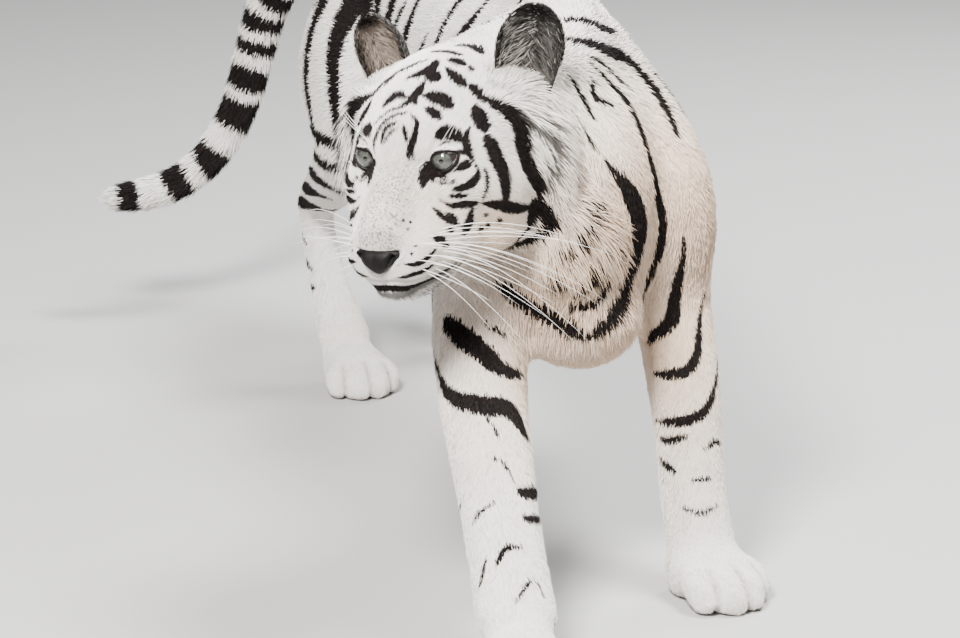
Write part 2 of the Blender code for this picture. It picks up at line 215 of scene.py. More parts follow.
class Finish:
    """A material whose nodes are made by one method."""

    def __init__(self, name, roughness=0.7, **constants):
        self.material = bpy.data.materials.new(name)
        self.material.use_nodes = True
        self.tree = self.material.node_tree
        self.shader = self.tree.nodes["Principled BSDF"]
        self.shader.inputs["Roughness"].default_value = roughness
        for key, value in constants.items():
            self.shader.inputs[key.replace("_", " ")].default_value = value

    def node(self, kind, settings=None, inputs=None, output=0):
        made = self.tree.nodes.new(kind)
        for key, value in (settings or {}).items():
            if key == "stops":
                ramp_of = made.color_ramp
                while len(ramp_of.elements) < len(value):
                    ramp_of.elements.new(0.5)
                for element, (place, colour) in zip(ramp_of.elements, value):
                    element.position, element.color = place, (*colour, 1)
            else:
                setattr(made, key, value)
        for key, value in (inputs or {}).items():
            socket = made.inputs[key]
            if isinstance(value, Value):
                self.tree.links.new(value.socket, socket)
            else:
                socket.default_value = value
        return Value(self, made.outputs[output])

    def attribute(self, name):
        return self.node("ShaderNodeAttribute", {"attribute_name": name}, output="Fac")

    def places(self):
        return self.node("ShaderNodeTexCoord", output="Object")

    def noise(self, scale, detail=2.0, where=None):
        names = {"Vector": where or self.places(), "Scale": scale, "Detail": detail}
        return self.node("ShaderNodeTexNoise", inputs=names)

    def mix(self, amount, first, second):
        colours = [c if isinstance(c, Value) else (*c, 1) for c in (first, second)]
        names = {0: amount, 6: colours[0], 7: colours[1]}
        return self.node("ShaderNodeMix", {"data_type": "RGBA"}, names, output=2)

    def bump(self, height, strength, distance):
        names = {"Strength": strength, "Distance": distance, "Height": height}
        return self.node("ShaderNodeBump", inputs=names)

    def wear(self, **sockets):
        for key, value in sockets.items():
            self.tree.links.new(value.socket, self.shader.inputs[key.replace("_", " ")])
        return self.material


def coat_colour(finish):
    """The white, cream and black of the coat, from the markings carried by skin and tufts alike, with
    painted shade at the tuft roots and where the markings carry it.
    """
    mark_gap, strength = finish.attribute("mark"), finish.attribute("strength")
    warm, speckle = finish.attribute("warm"), finish.attribute("speckle")
    along, tone = finish.attribute("along"), finish.attribute("tone")
    broad, fine = finish.noise(9.0), finish.noise(260.0, 3.0)
    white = finish.mix(broad.step(0.35, 0.7), *WHITE)
    cream = finish.mix(broad.step(0.3, 0.75), *CREAM)
    pale = finish.mix(warm.at_most(0.9), white, cream)
    # Painted shade: darker towards grey-brown at the tuft roots and on the skin under them, as self-shadow
    # in the fur; the same grey-brown takes the random grey streaks and the painted shade carried by the
    # markings.
    pale = finish.mix(((1 - along) * 0.30 + tone * 0.27).at_most(0.9), pale, GREY_AND_SHADE_BROWN)
    edge = mark_gap * 1000 + (finish.noise(150.0) - 0.5) * 2.2 + (fine - 0.5) * 1.4
    ink = (1 - edge.step(-0.9, 0.9)) * strength
    dots = finish.noise(330.0, 1.0).step(0.50, 0.64) * speckle
    black = finish.mix(fine.step(0.4, 0.8), *BLACK)
    return finish.mix(ink.at_least(dots * 0.62), pale, black)


def fur_finish(name, bumpy):
    finish = Finish(name, roughness=0.72, Specular_IOR_Level=0.10)
    colour = coat_colour(finish)
    if not bumpy:
        return finish.wear(Base_Color=colour)
    strands = finish.noise(520.0, 4.0)
    return finish.wear(Base_Color=colour, Normal=finish.bump(strands, 0.5, 0.0012))


# ---------------------------------------------------------------- mesh helpers
def in_scene(name, data):
    made = bpy.data.objects.new(name, data)
    bpy.context.scene.collection.objects.link(made)
    return made


def stand(name, mesh, slot, material, smooth=True):
    """A finished piece: it rides on the body and wears the given finish. The slot is not used."""
    piece = in_scene(name, mesh)
    mesh.materials.clear()
    mesh.materials.append(material)
    mesh.polygons.foreach_set("use_smooth", np.full(len(mesh.polygons), smooth))
    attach(piece, "root")
    return piece


def clay_mesh(name, clay):
    mesh = bpy.data.meshes.new(name)
    clay.to_mesh(mesh)
    clay.free()
    return mesh


def remeshed(mesh, size):
    """The mesh as one closed skin with faces of one size."""
    obj = in_scene("work", mesh)
    made = obj.modifiers.new("work", "REMESH")
    made.mode, made.voxel_size = "VOXEL", size
    graph = bpy.context.evaluated_depsgraph_get()
    done = bpy.data.meshes.new_from_object(obj.evaluated_get(graph), depsgraph=graph)
    bpy.data.objects.remove(obj)
    return done


def rows_of(items, key):
    rows = np.empty(len(items) * 3, np.float32)
    items.foreach_get(key, rows)
    return rows.reshape(-1, 3).astype(float)


def places_of(mesh):
    return rows_of(mesh.vertices, "co")


def normals_of(mesh):
    return rows_of(mesh.vertex_normals, "vector")


def face_middles(mesh):
    return rows_of(mesh.polygons, "center")


def surface_of(mesh, places):
    """The surface, ready to be hit by rays."""
    return BVHTree.FromPolygons([Vector(p) for p in places], [tuple(p.vertices) for p in mesh.polygons])


def move_to(mesh, places):
    mesh.vertices.foreach_set("co", places.astype(np.float32).ravel())
    mesh.update()


def put_attribute(mesh, name, values):
    made = mesh.attributes.new(name, "FLOAT", "POINT")
    made.data.foreach_set("value", np.asarray(values, np.float32))


def put_fields(mesh, fields, along):
    for key, values in fields.items():
        put_attribute(mesh, key, values)
    put_attribute(mesh, "along", np.full(len(mesh.vertices), along))


def solid_copy(name, swell=0.0):
    """A CAD node's mesh as one closed skin, a little further out."""
    clay = bmesh.new()
    clay.from_mesh(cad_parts[name].data)
    bmesh.ops.remove_doubles(clay, verts=clay.verts, dist=0.00001)
    clay.normal_update()
    for vert in clay.verts:
        vert.co += vert.normal * swell
    return clay


def unwrap(mesh):
    """The surface's own unwrap, by facing, into a new map."""
    obj = in_scene("unwrap", mesh)
    mesh.uv_layers.new(name="OFBake")
    bpy.context.view_layer.objects.active = obj
    obj.select_set(True)
    bpy.ops.object.mode_set(mode="EDIT")
    bpy.ops.mesh.select_all(action="SELECT")
    bpy.ops.uv.smart_project(angle_limit=math.radians(66), island_margin=0.002)
    bpy.ops.object.mode_set(mode="OBJECT")
    bpy.data.objects.remove(obj)


# ---------------------------------------------------------------- skin
def fused_flesh():
    """All flesh nodes with their gaps closed, and the eyes and nose filled in."""
    clay = bmesh.new()
    for name in FLESH + ["eye_left", "eye_right", "nose"]:
        part = clay_mesh("part", solid_copy(name, 0.0006))
        clay.from_mesh(part)
        bpy.data.meshes.remove(part)
    mesh = remeshed(clay_mesh("skin", clay), CLAY_VOXEL)
    body = bmesh.new()
    body.from_mesh(mesh)
    body.verts.ensure_lookup_table()
    seen, best = set(), []
    for vert in body.verts:
        if vert in seen:
            continue
        shell, queue = [], [vert]
        seen.add(vert)
        while queue:
            here = queue.pop()
            shell.append(here)
            for edge in here.link_edges:
                other = edge.other_vert(here)
                if other not in seen:
                    seen.add(other)
                    queue.append(other)
        best = max(best, shell, key=len)
    keep = set(best)
    bmesh.ops.delete(body, geom=[v for v in body.verts if v not in keep], context="VERTS")
    return clay_mesh("skin", body)


def coat_depth(points):
    """How far the skin lies under the coat's outline."""
    head, own = local(points, HEAD), local(points, OWN)
    face = 1 - ramp(np.linalg.norm(head - (0, -0.02, -0.05), axis=1), 0.07, 0.18)
    paw = 1 - ramp(own[:, 2], 0.07, 0.30)
    depth = 0.0075 * (1 - face) * (1 - 0.6 * paw) + 0.0018 * face
    return depth * ramp(own[:, 2], -0.004, 0.02) + 0.0008


def refined(mesh, chosen):
    """The same mesh with the edges of chosen faces cut in half."""
    clay = bmesh.new()
    clay.from_mesh(mesh)
    clay.faces.ensure_lookup_table()
    edges = {e for i in np.flatnonzero(chosen) for e in clay.faces[i].edges}
    bmesh.ops.subdivide_edges(clay, edges=list(edges), cuts=1, use_grid_fill=True)
    ngons = [f for f in clay.faces if len(f.verts) > 4]
    bmesh.ops.triangulate(clay, faces=ngons)
    return clay_mesh("skin", clay)


def neighbours_mean(mesh, places, weight, times):
    """Laplacian smoothing by a share of each vertex."""
    edges = np.empty(len(mesh.edges) * 2, np.int32)
    mesh.edges.foreach_get("vertices", edges)
    a, b = edges.reshape(-1, 2).T
    count = np.bincount(a, minlength=len(places)) + np.bincount(b, minlength=len(places))
    for _ in range(times):
        total = np.zeros_like(places)
        for k in range(3):
            total[:, k] = np.bincount(a, places[b, k], len(places))
            total[:, k] += np.bincount(b, places[a, k], len(places))
        mean = total / np.maximum(count, 1)[:, None]
        places = places + (mean - places) * weight[:, None]
    return places


def build_skin():
    mesh = fused_flesh()
    places = places_of(mesh)
    own, head = local(places, OWN), local(places, HEAD)
    near_face = 1 - ramp(np.linalg.norm(head - (0, 0.03, -0.04), axis=1), 0.15, 0.26)
    paw = 1 - ramp(own[:, 2], 0.08, 0.16)
    weight = 0.55 * (1 - 0.75 * np.maximum(near_face, paw))
    places = neighbours_mean(mesh, places, weight, 12)
    move_to(mesh, places)
    places = places - normals_of(mesh) * coat_depth(places)[:, None]
    move_to(mesh, places)
    for reach, low_y in ((0.165, 0.10), (0.140, 0.035)):
        middles = local(face_middles(mesh), HEAD)
        chosen = (np.linalg.norm(middles - (0, 0.0, -0.05), axis=1) < reach) & (middles[:, 1] < low_y)
        mesh = refined(mesh, chosen)
        places = places_of(mesh)
        head = local(places, HEAD)
        soft = (np.linalg.norm(head - (0, 0.0, -0.05), axis=1) < reach + 0.02) * 0.5
        move_to(mesh, neighbours_mean(mesh, places, soft, 3))
    middles, toes = local(face_middles(mesh), OWN), np.zeros(len(mesh.polygons), bool)
    for at, _, _ in PAWS.values():
        toes |= (np.linalg.norm(middles - (at[0], at[1] - 0.045, 0.03), axis=1) < 0.075)
    mesh = refined(mesh, toes)
    places = places_of(mesh)
    move_to(mesh, places - normals_of(mesh) * (CLEFT_DEPTH * toe_clefts(places))[:, None])
    middles = local(face_middles(mesh), HEAD)
    near = [np.linalg.norm(middles - (s * EYE_AT.x, -0.008, 0), axis=1) < 0.027 for s in (-1, 1)]
    mesh = refined(mesh, near[0] | near[1])
    shape_face(mesh)
    return mesh


# ---------------------------------------------------------------- face
def eye_centre(side):
    """Where the visible eyeball sits."""
    return Vector((EYE_AT.x * side, EYE_AT.y, EYE_AT.z + 0.003))


def eye_frame(side):
    """The eye's own axes: x from its inner to its outer corner, -y out of the eye, z up."""
    turn = turned(20 * side, "Z") @ turned(-4, "X") @ turned(-17 * side, "Y")
    return HEAD @ Matrix.Translation(eye_centre(side)) @ turn


def lid_line(left, upper):
    """The height in degrees of a lid's edge at a bearing from the inner to the outer corner."""
    t = np.clip((left - LIDS_MIDDLE) / LIDS_HALF, -1, 1)
    base = INNER_UP + (OUTER_UP - INNER_UP) * (left + LIDS_HALF - LIDS_MIDDLE) / (2 * LIDS_HALF)
    if upper:
        return base + 45 * (1 - t * t) ** 0.6 * (1 - 0.45 * t)
    return base - 24 * (1 - t * t) ** 0.75 * (1 - 0.25 * t)


def lid_margin(seen, side):
    """How far inside the lids' opening a place seen from the eye is, in metres; negative outside."""
    reach = np.maximum(np.linalg.norm(seen, axis=1), 1e-6)
    left = np.degrees(np.arctan2(seen[:, 0] * side, -seen[:, 1]))
    up = np.degrees(np.arcsin(np.clip(seen[:, 2] / reach, -1, 1)))
    inside = np.minimum(lid_line(left, True) - up, up - lid_line(left, False))
    beyond = np.abs(left - LIDS_MIDDLE) - LIDS_HALF
    corner = np.hypot(np.maximum(beyond, 0), up - np.where(left > 0, OUTER_UP, INNER_UP))
    margin = np.where(beyond < 0, inside, -corner)
    return np.where(seen[:, 1] < 0.006, margin, -60) * EYE_RADIUS * math.pi / 180


def shape_face(mesh):
    """Lids round the eyes, a crest down each ruff, the lip line with its split, and the nose's bed."""
    places = places_of(mesh)
    for side in (-1, 1):
        place = eye_frame(side)
        seen = local(places, place)
        reach = np.linalg.norm(seen, axis=1)
        margin = lid_margin(seen, side)
        lid = EYE_RADIUS + 0.0002 + 0.0023 * ramp(-margin, -0.0002, 0.0028)
        lid = np.where(margin > 0, EYE_RADIUS - 0.0035 * ramp(margin, 0, 0.0015), lid)
        outside = ramp(-margin, 0.004, 0.014)
        target = lid * (1 - outside) + reach * outside
        target = np.where((reach < 0.045) & (seen[:, 1] < 0.004), target, reach)
        places = places + (unit(seen) * (target - reach)[:, None]) @ np.array(place)[:3, :3].T
    turn = np.array(HEAD)[:3, :3]
    move_to(mesh, places)
    out = normals_of(mesh)
    rays = surface_of(mesh, places)
    for s in (-1, 1):
        crest = laid(rays, BEARINGS["head"], ruff_arc(s, 117))
        behind_cheek = np.array(HEAD @ Vector((s * 0.11, 0.10, -0.05)))
        near = np.flatnonzero(np.linalg.norm(places - behind_cheek, axis=1) < 0.16)
        gap = line_distance(places[near], crest)[0]
        rise = (0.011 if s > 0 else 0.016) * bell(gap, 0.020)
        places[near] += (out[near] * 0.7 + turn[:, 0] * s * 0.5) * rise[:, None]
    head = local(places, HEAD)
    move_to(mesh, places)
    out = normals_of(mesh)
    rays = surface_of(mesh, places)
    lips = [laid(rays, BEARINGS["head"], lip_line(s)) for s in (-1, 1)]
    near = np.flatnonzero(np.linalg.norm(head - (0, -0.05, -0.11), axis=1) < 0.11)
    for line in lips:
        gap = line_distance(places[near], line)[0]
        places[near] -= out[near] * (MOUTH_DEPTH * bell(gap, MOUTH_HALF))[:, None]
        above = bell(gap - 0.008, 0.006) * (head[near, 2] > -0.118)
        places[near] += out[near] * (0.0012 * above)[:, None]
    split = laid(rays, BEARINGS["head"], [(0, -17), (0, -23)])
    gap = line_distance(places[near], split)[0]
    places[near] -= out[near] * (LIP_SPLIT_DEPTH * bell(gap, LIP_SPLIT_HALF))[:, None]
    bed = local(places, HEAD) - np.array(NOSE_AT)
    high = bed[:, 2] / 0.0165
    deep = 1 - ramp(np.abs(bed[:, 0]) / nose_width(high), 0.70, 1.0)
    deep = deep * (1 - ramp(np.abs(high), 0.75, 1.0)) * (bed[:, 1] < 0.02)
    places += (deep * 0.007)[:, None] * turn[:, 1]
    move_to(mesh, places)


# ---------------------------------------------------------------- charts and strokes
SPINE = [(-0.40, -0.055, 0.50), (-0.32, -0.042, 0.53), (-0.19, -0.022, 0.55), (-0.02, 0.0, 0.56)]
SPINE += [(0.18, 0.012, 0.565), (0.38, 0.012, 0.58), (0.54, 0.0, 0.608), (0.68, -0.015, 0.638)]
SPINE += [(0.79, -0.028, 0.652), (0.86, -0.034, 0.668)]

LEGS = {
    "foreleg_right": [(-0.138, -0.285, 0.555), (-0.194, -0.345, 0.405), (-0.208, -0.450, 0.290),
                      (-0.208, -0.565, 0.145), (-0.212, -0.640, 0.066)],
    "foreleg_left": [(0.086, -0.260, 0.550), (0.100, -0.255, 0.405), (0.106, -0.315, 0.280),
                     (0.108, -0.362, 0.135), (0.114, -0.385, 0.066)],
    "hindleg_right": [(-0.158, 0.640, 0.545), (-0.162, 0.580, 0.430), (-0.166, 0.715, 0.345),
                      (-0.172, 0.850, 0.270), (-0.160, 0.795, 0.160), (-0.142, 0.735, 0.064)],
    "hindleg_left": [(0.098, 0.690, 0.540), (0.112, 0.650, 0.425), (0.110, 0.790, 0.355),
                     (0.104, 0.935, 0.285), (0.102, 0.905, 0.170), (0.104, 0.870, 0.064)],
}
TAIL = [(-0.488, 1.153, 0.224), (-0.450, 1.150, 0.226), (-0.370, 1.140, 0.238), (-0.295, 1.135, 0.285)]
TAIL += [(-0.244, 1.130, 0.365), (-0.216, 1.120, 0.460), (-0.192, 1.102, 0.555), (-0.148, 1.062, 0.630)]
TAIL += [(-0.090, 0.990, 0.676), (-0.050, 0.900, 0.694), (-0.030, 0.780, 0.690)]


def bearing(place, centre):
    """A chart of directions from a centre: degrees to the left and up from -y."""

    def ray(left, up):
        angle = math.radians(math.hypot(left, up))
        share = math.sin(angle) / max(math.hypot(left, up), 1e-6)
        way = Vector((left * share, -math.cos(angle), up * share))
        return place @ Vector(centre), place.to_3x3() @ way

    return ray


def round_spine(y, angle):
    row = [np.interp(y, [s[0] for s in SPINE], [s[k] for s in SPINE]) for k in (1, 2)]
    a = math.radians(angle)
    return OWN @ Vector((row[0], y, row[1])), Vector((math.sin(a), 0, math.cos(a)))


def round_leg(name):
    path = sorted(LEGS[name], key=lambda p: p[2])

    def ray(height, angle):
        x, y = (np.interp(height, [p[2] for p in path], [p[k] for p in path]) for k in (0, 1))
        a = math.radians(angle)
        return OWN @ Vector((x, y, height)), Vector((math.sin(a), -math.cos(a), 0))

    return ray


BEARINGS = {
    "head": bearing(HEAD, (0, 0.060, -0.045)),
    "chest": bearing(OWN, (-0.045, -0.200, 0.520)),
    "spine": round_spine,
    **{name: round_leg(name) for name in LEGS},
}


def lip_line(side):
    """The closed mouth from under the nose to its corner: level in front, then lower."""
    return [(side * left, -22 - 10 * min(max((left - 6) / 24, 0), 1)) for left in range(0, 43, 3)]


def ruff_arc(side, reach):
    """An arc down the ruff, whose middle reaches the given bearing."""
    return [(side * (reach - 26 * (up / 66) ** 2), up) for up in range(-66, 67, 12)]


def curve(places, steps=4):
    """Chart places with smooth ones between them."""
    rows = np.array(places, float)
    padded = np.vstack([2 * rows[0] - rows[1], rows, 2 * rows[-1] - rows[-2]])
    made = []
    for a, b, c, d in zip(padded, padded[1:], padded[2:], padded[3:]):
        for t in np.arange(steps) / steps:
            bend = (2 * a - 5 * b + 4 * c - d) * t**2 + (3 * b - a - 3 * c + d) * t**3
            made.append(0.5 * (2 * b + (c - a) * t + bend))
    made.append(rows[-1])
    return np.array(made)


def mark(wide, *places, full=0.5):
    """A mark through a few chart places, tapered to both ends.

    Half its width in millimetres is reached at the share of its length called full.
    """
    run = curve(places)
    share = np.linspace(0, 1, len(run)) ** (math.log(0.5) / math.log(full))
    return np.column_stack([run, wide * np.sin(math.pi * (0.02 + 0.96 * share)) ** 0.55])


def dot(wide, left, up):
    return mark(wide, (left, up), (left + 0.8, up))


def laid(rays, chart, points):
    """Chart points as a line on the skin, with points between them."""
    points = np.array(points, float)
    steps = np.linspace(0, len(points) - 1, 2 * (len(points) - 1) + 1)
    found = []
    for t in steps:
        row = [np.interp(t, range(len(points)), points[:, k]) for k in range(points.shape[1])]
        start, way = chart(row[0], row[1])
        hit = rays.ray_cast(start, way)[0]
        if hit is not None:
            found.append((*hit, *row[2:]))
    return np.array(found)


def line_distance(points, line):
    """Distance to a line, and its half width at the nearest place where the line has widths."""
    best, half = np.full(len(points), 1.0), np.zeros(len(points))
    for a, b in zip(line, line[1:]):
        t, gap = share_and_gap(points, a[:3], b[:3])
        if len(a) > 3:
            width = (a[3] + (b[3] - a[3]) * t) / 1000
            closer = gap - width < best - half
        else:
            width, closer = 0.0, gap < best
        best, half = np.where(closer, gap, best), np.where(closer, width, half)
    return best, half


# Every mark below is given as half its width in millimetres, then the places it runs through.
CROWN = [
    mark(5.5, (-12, 94), (0, 97), (9, 102), (10, 109), full=0.6),
    mark(7.5, (8, 99), (14, 97), (19, 94)),
    mark(3.4, (-45, 93), (-22, 101), (0, 109)),
    mark(5.0, (-48, 92), (-38, 94), (-30, 98)),
    mark(6.5, (23, 103), (35, 97), (46, 92), full=0.6),
    mark(6.0, (21, 111), (29, 110), (38, 109)),
    mark(3.5, (43, 107), (47, 104)),
    mark(7.0, (3, 134), (25, 134), (48, 122)),
    mark(5.5, (-8, 118), (10, 120), (30, 118)),
]
FOREHEAD = [
    mark(7.5, (12, 83), (21, 83), (31, 81), (40, 76), full=0.62),
    mark(5.5, (17, 74), (25, 71), (32, 66), full=0.6),
    mark(5.5, (-29, 74), (-22, 80), (-13, 83), (-3, 81), full=0.4),
    mark(5.0, (9, 93), (6, 85), (0, 80), full=0.6),
    mark(3.0, (4, 82), (8, 76)),
    mark(3.2, (-8, 73), (-1, 77), (4, 79)),
    mark(2.0, (-1, 73), (-17, 70), (-32, 57)),
    mark(2.5, (5, 70), (-7, 67), (-19, 59), (-24, 48), (-24, 39)),
    mark(2.8, (-2, 62), (-13, 57), (-16, 46)),
    mark(1.8, (0, 58), (-8, 54), (-14, 46)),
    mark(3.4, (5, 69), (14, 62), (13, 50), (11, 44), (15, 35), full=0.65),
    mark(2.0, (3, 60), (6, 54), (8, 48)),
    mark(1.8, (8, 42), (12, 35)),
]
ROUND_THE_EYE = [
    mark(8.0, (31, 51), (38, 55), (46, 53), (51, 47)),
    mark(1.2, (33, 44), (38, 47), (45, 46)),
    mark(5.0, (59, 58), (55, 49), (57, 41), (62, 27), full=0.6),
    mark(3.5, (46, 39), (57, 37), (62, 30)),
    mark(4.8, (46, 24), (52, 26), (59, 28), full=0.65),
    mark(4.5, (62, 28), (63, 17), (54, 11), (41, 10), full=0.65),
    mark(2.5, (42, 15), (45, 16)),
    mark(2.8, (38, 7), (45, 5), (52, 4)),
    mark(6.5, (27, 34), (23, 25), (21, 16), full=0.45),
]
CHEEK = [
    mark(4.0, (31, 6), (38, 0), (47, -2), (58, -6), full=0.7),
    mark(6.5, (53, -4), (50, -11), (46, -16), (40, -19), full=0.7),
    mark(3.5, (26, 3), (32, -5), (42, -15), full=0.6),
    mark(3.0, (34, -3), (38, -7), (40, -11)),
    mark(3.0, (69, 20), (68, 8), (61, -5)),
    mark(9.5, (61, 76), (66, 65), (72, 52), full=0.6),
    mark(6.5, (50, 92), (59, 86), (69, 76)),
    mark(9.5, (62, 84), (80, 68), (97, 45), (103, 22), (103, -5), (103, -28), (97, -46)),
    mark(9.0, (73, 46), (79, 31), (82, 12), (79, -6), (74, -18), full=0.35),
    mark(6.5, (60, -8), (69, -14), (78, -24), (91, -42), full=0.6),
    mark(12.0, (95, -38), (90, -50), (84, -62), full=0.6),
    mark(6.5, (82, -64), (71, -62), (60, -60), (50, -60), full=0.4),
    dot(3.0, 60, -19),
    dot(3.6, 58, -28),
    dot(3.4, 66, -29),
    dot(4.2, 52, -27),
]
RUFF = [
    mark(6.5, (97, 50), (107, 28), (113, 8), (111, -12), (105, -30), (97, -43)),
    mark(3.0, (112, 30), (119, 8), (117, -14), (110, -32)),
]
RUFF_SHADE = [mark(7, (62, 97), (80, 83), (98, 62), (112, 46))]
# Painted shade: soft dark bands under the mouth, where the chin and lower jaw fall into shadow.
CHIN_SHADE = [
    mark(9.0, (-34, -40), (-20, -36), (0, -31), (20, -36), (34, -40)),
    mark(12.0, (-34, -50), (-16, -45), (0, -42), (16, -45), (34, -50)),
]
LIPS = [
    mark(4.2, (24, -11), (30, -17)),
    mark(3.0, (32, -12), (36, -14)),
    mark(2.8, (11, -14), (18, -16), (25, -16)),
    mark(2.5, (27, -18), (31, -20)),
    mark(2.8, (6, -20), (14, -20), (23, -22)),
    mark(2.0, (12, -24), (20, -28)),
    mark(4.5, (-14, -30), (0, -26), (12, -30), (30, -36)),
    *(dot(1.5, left, up) for left, up in ((11, 2), (14, 0), (13, -2), (14, -11), (16, -9))),
]
JAW = [
    mark(12.0, (-19, 13), (-16, 6), (-20, 3), (-30, -2), full=0.35),
    mark(7.0, (-1, 14), (-4, 6), (-8, -1), (-14, -4)),
]
NECK = [
    mark(6.0, (-7, 70), (5, 72), (16, 76), (30, 84)),
    mark(9.5, (-9, 60), (12, 65), (31, 70), (41, 56), (43, 33)),
    mark(3.0, (-1, 57), (8, 57), (21, 52)),
    mark(6.5, (1, 55), (14, 47), (19, 31), (25, 15), (31, 0), (32, -20), (30, -42)),
    mark(4.5, (1, 50), (0, 44), (8, 42)),
    mark(3.2, (-9, 49), (-5, 43), (-1, 36)),
    mark(2.2, (-9, 38), (-4, 31), (1, 22), full=0.7),
    mark(13.0, (2, 22), (10, 13), (15, 0), (14, -14), (6, -23), (-6, -29)),
    mark(5.5, (1, 22), (3, 12), (7, 2), (5, -14)),
    mark(8.0, (0, -6), (-4, -12), (-9, -17)),
    mark(5.0, (3, -13), (-2, -19), (-12, -21)),
    mark(5.0, (-19, -11), (-10, -13)),
    mark(9.5, (-33, -12), (-24, -21), (-14, -26), (-4, -29)),
    # Painted shadow: a dark band on the neck just behind the ruff's lower edge.
    mark(6.0, (-2, 13), (-5, 6), (-13, -3), full=0.6),
    mark(7.0, (48, 66), (64, 36), (66, 10), (58, -18)),
]
NECK_RIGHT = [
    mark(8, (-0.20, -8), (-0.21, -75), (-0.24, -128)),
    mark(8, (-0.26, -14), (-0.255, -70), (-0.285, -130)),
    mark(7, (-0.325, -60), (-0.31, -95), (-0.325, -126)),
]
FORELEG_LEFT = [
    mark(11.0, (0.500, -1), (0.450, -4), (0.395, -12), (0.368, -22), (0.335, -66), full=0.7),
    mark(8.5, (0.418, 28), (0.370, 15), (0.328, 7), (0.307, -14), (0.298, -66), full=0.7),
    mark(8.0, (0.335, 66), (0.285, 38), (0.254, 12), (0.243, -22), (0.232, -88), full=0.65),
    mark(6.0, (0.210, -78), (0.215, -45), (0.224, -14)),
    mark(4.5, (0.203, 6), (0.210, 28), (0.205, 52)),
    mark(6.0, (0.184, -88), (0.177, -60), (0.174, -42)),
    mark(3.0, (0.165, -20), (0.165, 24)),
    mark(3.5, (0.128, -42), (0.121, -8), (0.130, 34)),
]
FORELEG_RIGHT = [
    mark(15.0, (0.412, -50), (0.398, -28), (0.380, -9), (0.360, 8), (0.342, 45), full=0.35),
    mark(4.0, (0.415, -9), (0.405, 2), (0.392, 15)),
    mark(14.0, (0.362, -108), (0.328, -58), (0.322, -15), (0.314, 15), (0.270, 52), full=0.6),
    mark(2.5, (0.312, -14), (0.292, -2), (0.280, 3)),
    mark(3.0, (0.264, -16), (0.256, 2), (0.232, 14)),
    mark(10.0, (0.224, 14), (0.214, 45), (0.208, 90)),
    mark(7.0, (0.194, 18), (0.187, 40), (0.180, 80)),
    mark(4.0, (0.186, -108), (0.202, -88)),
    mark(3.4, (0.182, -62), (0.198, -42), (0.213, -15)),
    mark(4.0, (0.142, -30), (0.162, -12), (0.162, 14), full=0.35),
    mark(3.2, (0.112, -70), (0.132, -55), (0.150, -42)),
    mark(3.0, (0.104, -11), (0.118, 5), (0.130, 21)),
    mark(2.2, (0.130, 21), (0.118, 31), (0.104, 38)),
]
WHITE_RINGS = [(0.000, 0.035), (0.073, 0.120), (0.165, 0.190), (0.235, 0.275), (0.330, 0.345)]
WHITE_RINGS += [(0.385, 0.412), (0.440, 0.456), (0.487, 0.508), (0.545, 0.580), (0.615, 0.650)]
WHITE_RINGS += [(0.685, 0.725), (0.755, 0.800), (0.825, 1.2)]


HAUNCH_Y = 0.46


def haunch_lean(y):
    """How far back a bar on the haunch slants on its way down."""
    return min(0.055 + 0.16 * (y - HAUNCH_Y), 0.075 - 0.45 * (y - 0.60))


def flank_strokes():
    """Bars down both flanks from the spine, some forked, more slanting over the haunch."""
    pick = np.random.default_rng(21)
    strokes = []
    for side in (-1, 1):
        y = -0.160
        while y < 0.83:
            short = pick.random() < 0.22
            top = pick.uniform(35, 60) if short else pick.uniform(-3, 14)
            low = pick.uniform(112, 132) if y > 0.5 else pick.uniform(98, 150)
            lean = pick.uniform(-0.015, 0.030) if y < HAUNCH_Y else haunch_lean(y)
            wide = pick.uniform(6, 9) if short else pick.uniform(8.5, 13.5)
            wide *= 1.4 if y > 0.45 else 1.0
            bend, beat = pick.uniform(0.006, 0.013), pick.uniform(3.5, 6.0)
            swell, phase = pick.uniform(0.15, 0.4), pick.uniform(0, 6)
            shares = np.linspace(0, 1, 11)
            wander = [(t, y - lean * t * t + bend * math.sin(beat * t + phase)) for t in shares]
            run = []
            for t, place in wander:
                body = math.sin(math.pi * (0.06 + 0.89 * t)) ** 0.6 * (1 + swell * math.sin(9 * t + phase))
                run.append((place, side * (top + (low - top) * t), wide * body))
            strokes.append(run)
            if pick.random() < 0.45:
                first, last = pick.uniform(0.1, 0.35), pick.uniform(0.7, 0.95)
                reach = pick.uniform(0.022, 0.036)
                reach *= pick.choice((-1, 1))
                fork = []
                for u in np.linspace(0, 1, 8):
                    t = first + (last - first) * u
                    place = np.interp(t, *zip(*wander)) + reach * min(1.0, 2.2 * u) ** 0.8
                    thin = 0.62 * wide * math.sin(math.pi * (0.22 + 0.72 * u)) ** 0.8
                    fork.append((place, side * (top + (low - top) * t), thin))
                strokes.append(fork)
            y += pick.uniform(0.056, 0.084)
        for y in np.arange(-0.05, 0.50, 0.075):
            start = pick.uniform(128, 140)
            lean = pick.uniform(-0.01, 0.02)
            strokes.append([(y + lean * t, side * (start + 32 * t), 6 * math.sin(math.pi * (0.1 + 0.8 * t)))
                            for t in np.linspace(0, 1, 5)])
    return strokes


def leg_rings(name, heights, outside, first, last, wide):
    """Bars part of the way round a leg, on its outer side."""
    pick = np.random.default_rng(len(name) + len(heights))
    strokes = []
    for height in heights:
        mid = outside + pick.uniform(-18, 18)
        span = pick.uniform(first, last)
        tilt = pick.uniform(-0.012, 0.020)
        shares = np.linspace(-1, 1, 6)
        strokes.append([(height + tilt * t, mid + span * t, wide * (1.02 - t * t)) for t in shares])
    return strokes


